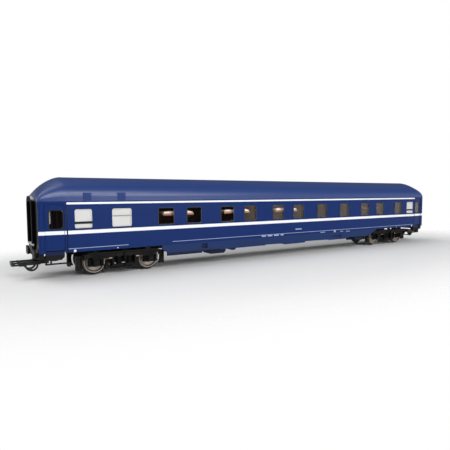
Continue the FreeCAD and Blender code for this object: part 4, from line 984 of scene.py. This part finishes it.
@dataclass
class SmallPlates:
    """Blank printed plates and lamp studs along the lower edge of the sides.

    Attributes:
        plates: Middle along the coach, height, length and width of each plate on the right side.
        studs: Middle along the coach, height and radius of each round stud of the near right corner.
        film: Thickness of a plate.
        rim: Width of a plate's rim.
        step: Height of the step from the rim to the face, which lies behind the rim on the right side and
            before it on the left.
        stud_reach: How far a stud stands out.
        stud_root: How far a stud goes into the wall.
        stud_edge: Radius of a stud's edges.
    """

    plates: tuple[tuple[float, float, float, float], ...] = (
        (-20.5, 14.3, 3.4, 0.8), (-15.6, 14.3, 3.6, 0.8), (-10.4, 14.3, 3.8, 0.8), (-5.6, 14.3, 2.4, 0.8),
        (8.6, 17.3, 5.4, 0.7),
        (31.2, 14.0, 4.5, 0.45), (43.0, 14.1, 1.7, 1.5), (50.2, 13.7, 3.0, 0.4), (56.7, 13.4, 4.2, 0.4),
    )
    studs: tuple[Triple, ...] = ((-134.2, 13.9, 0.6), (-113.5, 13.9, 0.27))
    film: float = 0.03
    rim: float = 0.08
    step: float = 0.01
    stud_reach: float = 0.16
    stud_root: float = 0.1
    stud_edge: float = 0.07

    def plate(self, middle: float, height: float, length: float, width: float, face: float) -> Piece:
        """Make one blank plate with a rim.

        Args:
            middle: Its middle along the coach.
            height: Its middle over the flanges' lowest plane.
            length: Its length.
            width: Its width.
            face: How far its face lies before its rim.

        Returns:
            The plate in place.
        """
        plate = flat_sheet(middle, height, length, width)
        start_editing(plate)
        raise_film(self.film)
        bpy.ops.mesh.inset(thickness=self.rim * MM, depth=face * MM)
        stop_editing()
        return SHAPE.lay_on(plate)

    def stud(self, middle: float, height: float, radius: float) -> Piece:
        """Make one round stud with a rounded rim.

        Args:
            middle: Its middle along the coach.
            height: Its middle over the flanges' lowest plane.
            radius: Its radius.

        Returns:
            The stud in place.
        """
        reach = SHAPE.half_width + (self.stud_reach - self.stud_root) / 2
        return soft_rod((middle, -reach, height), radius, self.stud_reach + self.stud_root,
                        (QUARTER, 0.0, 0.0), steps=24, edge=self.stud_edge)

    def build(self, plate_ink: Material, stud_ink: Material) -> None:
        """Make the plates and the studs.

        Args:
            plate_ink: Material of the plates.
            stud_ink: Material of the studs.
        """
        plates = [self.plate(*plate, face=-self.step) for plate in self.plates]
        plates += [moved(self.plate(*plate, face=self.step), Corner.OPPOSITE) for plate in self.plates]
        studs = [copy for stud in self.studs for copy in at_corners(self.stud(*stud))]
        finish_piece(plates, "side_plates", plate_ink, "coach_body")
        finish_piece(studs, "side_studs", stud_ink, "coach_body")


@dataclass
class DoorSeals:
    """Dark seal strips beside the end doors, where the end part meets the long side.

    Attributes:
        place: Middle of a strip from the middle of the coach.
        low: Its lower end.
        high: Its upper end.
        width: Its width.
        proud: How far it stands out.
        edge: Radius of its edges.
    """

    place: float = 137.45
    low: float = 13.3
    high: float = 35.8
    width: float = 0.62
    proud: float = 0.05
    edge: float = 0.03

    def build(self, material: Material) -> None:
        """Make the four strips.

        Args:
            material: Material of the seal.
        """
        strip = soft_block((-self.place, -SHAPE.half_width, (self.low + self.high) / 2),
                           (self.width, 2 * self.proud, self.high - self.low), self.edge, segments=2)
        finish_piece(at_corners(strip), "door_seals", material, "coach_body")


@dataclass
class DoorWindowRims:
    """Thin printed rims round the windows of the side doors.

    Attributes:
        shift: A window from its door's middle, towards the middle of the coach.
        low: Lower edge of a window.
        high: Upper edge of a window.
        width: Width of a window.
        corner: Corner radius of a window.
        corner_steps: Number of steps in a corner.
        rim: Width of the rim.
        film: How far the rim stands out.
    """

    shift: float = 0.6
    low: float = 24.7
    high: float = 33.1
    width: float = 6.0
    corner: float = 1.1
    corner_steps: int = 6
    rim: float = 0.6
    film: float = 0.03

    def build(self, material: Material) -> None:
        """Make the four rims, each a sheet with round corners that is cut out inside.

        Args:
            material: Printing ink.
        """
        ring = flat_sheet(self.shift - SHAPE.door_place, (self.low + self.high) / 2,
                          self.width + 2 * self.rim, self.high - self.low + 2 * self.rim)
        start_editing(ring)
        bpy.ops.mesh.bevel(offset=(self.corner + self.rim) * MM, segments=self.corner_steps,
                           affect="VERTICES")
        bpy.ops.mesh.select_all(action="SELECT")
        bpy.ops.mesh.inset(thickness=self.rim * MM, depth=0.0)
        bpy.ops.mesh.delete(type="FACE")
        bpy.ops.mesh.select_all(action="SELECT")
        raise_film(self.film)
        stop_editing()
        rings = at_corners(SHAPE.lay_on(ring, SHAPE.door_inset))
        finish_piece(rings, "door_window_rims", material, "coach_body")


@dataclass
class BrakeRods:
    """Beige pull rods between the cradle of a bogie's side frame and its axle boxes.

    Attributes:
        pivot: Middle of a bogie from the middle of the coach.
        near: End of a rod at the cradle, from the middle of the bogie.
        far: End of a rod towards the axle box.
        across: Middle of a rod from the middle of the coach.
        height: Middle of a rod over the flanges' lowest plane.
        radius: Radius of a rod.
        edge: Radius of its edges.
        eye: Radius of the eye on a rod.
        wire: Radius of the wire that the eye is bent from.
        eye_place: Middle of the eye from the far end.
    """

    pivot: float
    near: float = 6.1
    far: float = 10.2
    across: float = 12.7
    height: float = 8.45
    radius: float = 0.36
    edge: float = 0.12
    eye: float = 0.32
    wire: float = 0.16
    eye_place: float = 0.5

    def rod(self, toward: float) -> list[Piece]:
        """Make one rod of the near bogie's right side, with an eye near its far end.

        Args:
            toward: Sign of the direction from the middle of the bogie along the coach.

        Returns:
            The rod and the eye in place.
        """
        middle = toward * (self.near + self.far) / 2 - self.pivot
        rod = soft_rod((middle, -self.across, self.height), self.radius, self.far - self.near,
                       (0.0, QUARTER, 0.0), steps=16, edge=self.edge)
        eye_middle = (toward * (self.far - self.eye_place) - self.pivot, -self.across - self.radius,
                      self.height)
        deselect_all()
        bpy.ops.mesh.primitive_torus_add(
            major_segments=20, minor_segments=10, major_radius=self.eye * MM,
            minor_radius=self.wire * MM, location=in_metres(eye_middle), rotation=(QUARTER, 0.0, 0.0))
        return [rod, new_piece()]

    def build(self, material: Material) -> None:
        """Make the rods of both bogies.

        Args:
            material: Material of the rods.
        """
        rods = self.rod(-1.0) + self.rod(1.0)
        near = rods + [copy_of(part, Corner.OTHER_SIDE) for part in rods]
        far = [copy_of(part, Corner.OTHER_END) for part in near]
        finish_piece(near, "brake_rods_1", material, "bogie_1")
        finish_piece(far, "brake_rods_2", material, "bogie_2")


@dataclass
class Bedding:
    """White sheet and pillow on the upper berths that are made up.

    Attributes:
        thickness: Thickness of a sheet on its berth.
        sink: How far a sheet goes into its berth.
        inset: How far a sheet stays inside the berth's ends and sides.
        rounding: Radius of a sheet's edges.
        pillow: Length, width and height of a pillow, which lies beside the windows.
        made_up: Place along the coach up to which the berths are made up.
        level: How far a corner of the berths may be from their upper face and still count.
    """

    thickness: float = 0.75
    sink: float = 0.05
    inset: float = 0.3
    rounding: float = 0.3
    pillow: Triple = (7.2, 3.6, 1.3)
    made_up: float = 12.0
    level: float = 0.01

    def bed(self, left: float, right: float, near: float, far: float, top: float) -> list[Piece]:
        """Make the sheet and the pillow of one berth.

        Args:
            left: Left end of the berth.
            right: Right end of the berth.
            near: Edge of the berth beside the windows.
            far: Edge of the berth beside the corridor.
            top: Upper face of the berth.

        Returns:
            Sheet and pillow in place.
        """
        middle, base = (left + right) / 2, top - self.sink
        sheet = soft_block(
            (middle, (near + far) / 2, base + self.thickness / 2),
            (right - left - 2 * self.inset, far - near - 2 * self.inset, self.thickness),
            self.rounding, segments=4)
        deselect_all()
        bpy.ops.mesh.primitive_uv_sphere_add(segments=24, ring_count=12, radius=0.5, location=in_metres(
            (middle, near + self.inset + self.pillow[1] / 2, base + self.thickness)))
        return [sheet, new_piece(tuple(in_metres(self.pillow)))]

    def build(self, material: Material) -> None:
        """Make the bedding of one berth, and copy it to every other one that is made up.

        Args:
            material: Paint of the bedding.
        """
        low, high = box_of("berths")
        top = high[2]
        vertices = bpy.data.objects["berths"].data.vertices
        ends = sorted({round(vertex.co.x / MM, 2) for vertex in vertices
                       if abs(vertex.co.z / MM - top) < self.level})
        lefts = [left for left, right in zip(ends[::2], ends[1::2]) if right < self.made_up]
        bed = self.bed(ends[0], ends[1], low[1], high[1], top)
        copies = [copy_of(part, shift=left - ends[0]) for left in lefts[1:] for part in bed]
        finish_piece(bed + copies, "bedding", material, "coach_body")


# ---- stage ---------------------------------------------------------------------------------------------


@dataclass(frozen=True)
class SoftLight:
    """One large soft light.

    Attributes:
        name: Name of the light.
        place: Where it stands, in metres.
        aim: What it points at, in metres.
        size: Its width and height, in metres.
        power: Its power, in watts.
    """

    name: str
    place: Triple
    aim: Triple
    size: tuple[float, float]
    power: float

    def build(self) -> None:
        """Hang the light."""
        deselect_all()
        bpy.ops.object.light_add(type="AREA", location=self.place)
        lamp = bpy.context.object
        lamp.name = self.name
        lamp.rotation_euler = (Vector(self.aim) - Vector(self.place)).to_track_quat("-Z", "Y").to_euler()
        lamp.data.shape = "RECTANGLE"
        lamp.data.size, lamp.data.size_y = self.size
        lamp.data.energy = self.power


# One before the near half, which the roof's shoulder mirrors, a lower one, and one over the near end.
LIGHTS = (
    SoftLight("key", (-0.1, -0.62, 0.38), (0.0, 0.0, 0.03), (0.5, 0.3), 3.2),
    SoftLight("fill", (0.23, -0.76, 0.2), (0.05, 0.0, 0.03), (0.28, 0.17), 1.4),
    SoftLight("overhead", (-0.5, 0.2, 0.8), (0.0, 0.0, 0.0), (0.9, 0.9), 4.6),
)


@dataclass(frozen=True)
class Studio:
    """Plain pale floor, soft light and the camera.

    Attributes:
        floor_radius: Radius of the floor, in metres.
        floor_height: Height of the floor, a little under the flanges, in metres.
        floor_shade: Darkest and brightest grey of the floor.
        floor_grain: Distance between the shades of the floor, in millimetres.
        fade: Where the floor begins and ends to fade into the white, in metres from its middle.
        narrow: How many times sooner it fades beside the coach than before its ends.
        mirror_fade: The same for the floor as the coach mirrors it.
        sky: sRGB hex colour of the light from all round.
        ambient: Strength of the light from all round.
        backdrop: Strength of the pale backdrop near the horizon.
        horizon: Height of a direction where the backdrop begins and ends to turn into the ambient light.
        dark_sides: How far sideways a direction before the coach points where the backdrop turns dark.
        dark: Strength that the backdrop has there, as a share of the ambient light.
        camera_place: Where the camera stands, in millimetres.
        camera_turn: How far it is turned to the right, dipped and rolled.
        camera_lens: Its sensor's width and focal length, in millimetres.
        camera_near: Nearest distance that it sees, in metres.
    """

    floor_radius: float = 3.0
    floor_height: float = -0.0002
    floor_shade: tuple[float, float] = (0.87, 0.89)
    floor_grain: float = 3.0
    fade: tuple[float, float] = (0.13, 0.3)
    narrow: float = 2.0
    mirror_fade: tuple[float, float] = (0.12, 0.3)
    sky: str = "#f4f6fa"
    ambient: float = 0.16
    backdrop: float = 0.95
    horizon: tuple[float, float] = (0.03, 0.2)
    dark_sides: tuple[float, float] = (0.795, 0.83)
    dark: float = 0.3
    camera_place: Triple = (-180.72, -219.27, 40.32)
    camera_turn: Triple = (0.57472, 0.07364, 0.0041)
    camera_lens: tuple[float, float] = (36.0, 33.18)
    camera_near: float = 0.01

    def build_floor(self) -> None:
        """Make the floor, which fades into the background for the camera and in mirrors."""
        deselect_all()
        bpy.ops.mesh.primitive_circle_add(vertices=96, radius=self.floor_radius, fill_type="NGON",
                                          location=(0.0, 0.0, self.floor_height))
        floor = new_piece()
        floor.name = "floor"
        material, tree, coords = new_material("pale floor card")
        path = add_node(tree, "ShaderNodeLightPath").outputs
        beside = add_node(tree, "ShaderNodeVectorMath", {0: coords, 1: (1.0, self.narrow, 1.0)},
                          operation="MULTIPLY")
        shown = add_node(tree, "ShaderNodeVectorMath", {0: beside}, operation="LENGTH").outputs["Value"]
        far = add_node(tree, "ShaderNodeMapRange", {
            "Value": shown, "From Min": self.fade[0], "From Max": self.fade[1]},
            interpolation_type="SMOOTHSTEP")
        to_camera = add_node(tree, "ShaderNodeMath", {0: far, 1: path["Is Camera Ray"]},
                             operation="MULTIPLY")
        reach = add_node(tree, "ShaderNodeVectorMath", {0: coords}, operation="LENGTH").outputs["Value"]
        mirrored = add_node(tree, "ShaderNodeMapRange", {
            "Value": reach, "From Min": self.mirror_fade[0], "From Max": self.mirror_fade[1]},
            interpolation_type="SMOOTHSTEP")
        bounced = add_node(tree, "ShaderNodeMath", {0: path["Glossy Depth"], 1: MIRRORED},
                           operation="GREATER_THAN")
        to_mirror = add_node(tree, "ShaderNodeMath", {0: mirrored, 1: bounced}, operation="MULTIPLY")
        clear = add_node(tree, "ShaderNodeMath", {0: to_camera, 1: to_mirror}, operation="MAXIMUM")
        grain = add_node(tree, "ShaderNodeTexNoise", {
            "Vector": coords, "Scale": 1 / (self.floor_grain * MM)}).outputs["Fac"]
        shade = add_node(tree, "ShaderNodeMapRange", {
            "Value": grain, "To Min": self.floor_shade[0], "To Max": self.floor_shade[1]})
        card = add_node(tree, "ShaderNodeBsdfDiffuse", {"Color": shade})
        open_air = add_node(tree, "ShaderNodeBsdfTransparent")
        mixed = add_node(tree, "ShaderNodeMixShader", {0: clear, 1: card, 2: open_air})
        add_node(tree, "ShaderNodeOutputMaterial", {"Surface": mixed})
        dress(floor, material)

    def build_world(self) -> None:
        """Light from all round: pale near the horizon, dimmer above and in front, white to the eye."""
        world = bpy.data.worlds.new("studio")
        bpy.context.scene.world = world
        world.use_nodes = True
        tree = world.node_tree
        tree.nodes.clear()
        coords = add_node(tree, "ShaderNodeTexCoord").outputs["Generated"]
        way = add_node(tree, "ShaderNodeSeparateXYZ", {0: coords}).outputs
        across = add_node(tree, "ShaderNodeMath", {0: way["Y"]}, operation="ABSOLUTE")
        sides = add_node(tree, "ShaderNodeMapRange", {
            "Value": across, "From Min": self.dark_sides[0], "From Max": self.dark_sides[1],
            "To Min": self.backdrop, "To Max": self.ambient * self.dark}, interpolation_type="SMOOTHSTEP")
        front = add_node(tree, "ShaderNodeMath", {0: way["Y"], 1: 0.0}, operation="LESS_THAN")
        low = add_node(tree, "ShaderNodeMix", {0: front, 2: self.backdrop, 3: sides})
        level = add_node(tree, "ShaderNodeMapRange", {
            "Value": way["Z"], "From Min": self.horizon[0], "From Max": self.horizon[1],
            "To Min": low, "To Max": self.ambient}, interpolation_type="SMOOTHSTEP")
        studio = add_node(tree, "ShaderNodeBackground", {"Color": linear(self.sky), "Strength": level})
        white = add_node(tree, "ShaderNodeBackground", {"Color": (1.0, 1.0, 1.0, 1.0), "Strength": 1.0})
        path = add_node(tree, "ShaderNodeLightPath").outputs
        straight = add_node(tree, "ShaderNodeMath", {0: path["Glossy Depth"], 1: MIRRORED},
                            operation="LESS_THAN")
        through = add_node(tree, "ShaderNodeMath", {0: path["Is Transmission Ray"], 1: straight},
                           operation="MULTIPLY")
        shown = add_node(tree, "ShaderNodeMath", {0: path["Is Camera Ray"], 1: through},
                         operation="MAXIMUM")
        mixed = add_node(tree, "ShaderNodeMixShader", {0: shown, 1: studio, 2: white})
        add_node(tree, "ShaderNodeOutputWorld", {"Surface": mixed})

    def build_camera(self) -> None:
        """Camera a little above the roof's height, beside the near end."""
        turn, dip, roll = self.camera_turn
        data = bpy.data.cameras.new("camera")
        data.sensor_width, data.lens = self.camera_lens
        data.clip_start = self.camera_near
        camera = bpy.data.objects.new("camera", data)
        bpy.context.scene.collection.objects.link(camera)
        camera.location = in_metres(self.camera_place)
        camera.rotation_euler = (QUARTER - dip, roll, -turn)
        bpy.context.scene.camera = camera

    def build(self) -> None:
        """Make the whole stage."""
        self.build_camera()
        self.build_floor()
        self.build_world()
        for light in LIGHTS:
            light.build()
        bpy.context.scene.view_settings.view_transform = "Standard"


# ---- main ----------------------------------------------------------------------------------------------


def dress_nodes() -> None:
    """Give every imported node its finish, and each wheel pair its own rings."""
    materials = {slot: finish.build() for slot, finish in FINISHES.items()}
    slots = {row["node"]: row["material_slot"] for row in frame["record"]["subparts"]}
    for name, node in frame["nodes"].items():
        if name in NODE_FINISHES:
            dress(node, NODE_FINISHES[name].build())
        elif name in WASHROOM_RIMS:
            dress(node, window_ink(name).build())
        elif name.startswith("wheels"):
            low, high = box_of(name)
            number = name.removeprefix("wheels_")
            dress(node, TurnedWheel(f"blackened wheel {number}", place=(low[0] + high[0]) / 2,
                                    height=(low[2] + high[2]) / 2).build())
        else:
            dress(node, materials[slots[name]])


def main() -> None:
    """Build the stage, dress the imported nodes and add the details."""
    logging.basicConfig(level=logging.INFO, format="%(message)s")
    Studio().build()
    dress_nodes()
    white, grey = PRINT_WHITE.build(), PRINT_GREY.build()
    inner = SHAPE.door_place - SHAPE.door_width / 2
    outer = SHAPE.door_place + SHAPE.door_width / 2
    wall = SHAPE.half_length
    PrintedStripe("wide_stripe", height=22.72, width=1.7, on_doors=True,
                  runs=((-wall, -outer), (-inner, inner), (outer, wall))).build(white)
    PrintedStripe("upper_stripe", height=36.42, width=0.95, runs=((-137.5, 137.5),)).build(white)
    PrintedStripe("lower_line", height=14.99, width=0.27,
                  runs=((-137.2, -107.9), (-83.2, 136.0))).build(grey)
    SmallPlates().build(grey, white)
    DoorSeals().build(SEAL_DARK.build())
    DoorWindowRims().build(DOOR_RIM.build())
    bogie_left, bogie_right = (corner[0] for corner in box_of("bogie_frame_2"))
    BrakeRods(pivot=(bogie_left + bogie_right) / 2).build(ROD_BEIGE.build())
    Bedding().build(BED_WHITE.build())


if __name__ == "__main__":
    main()
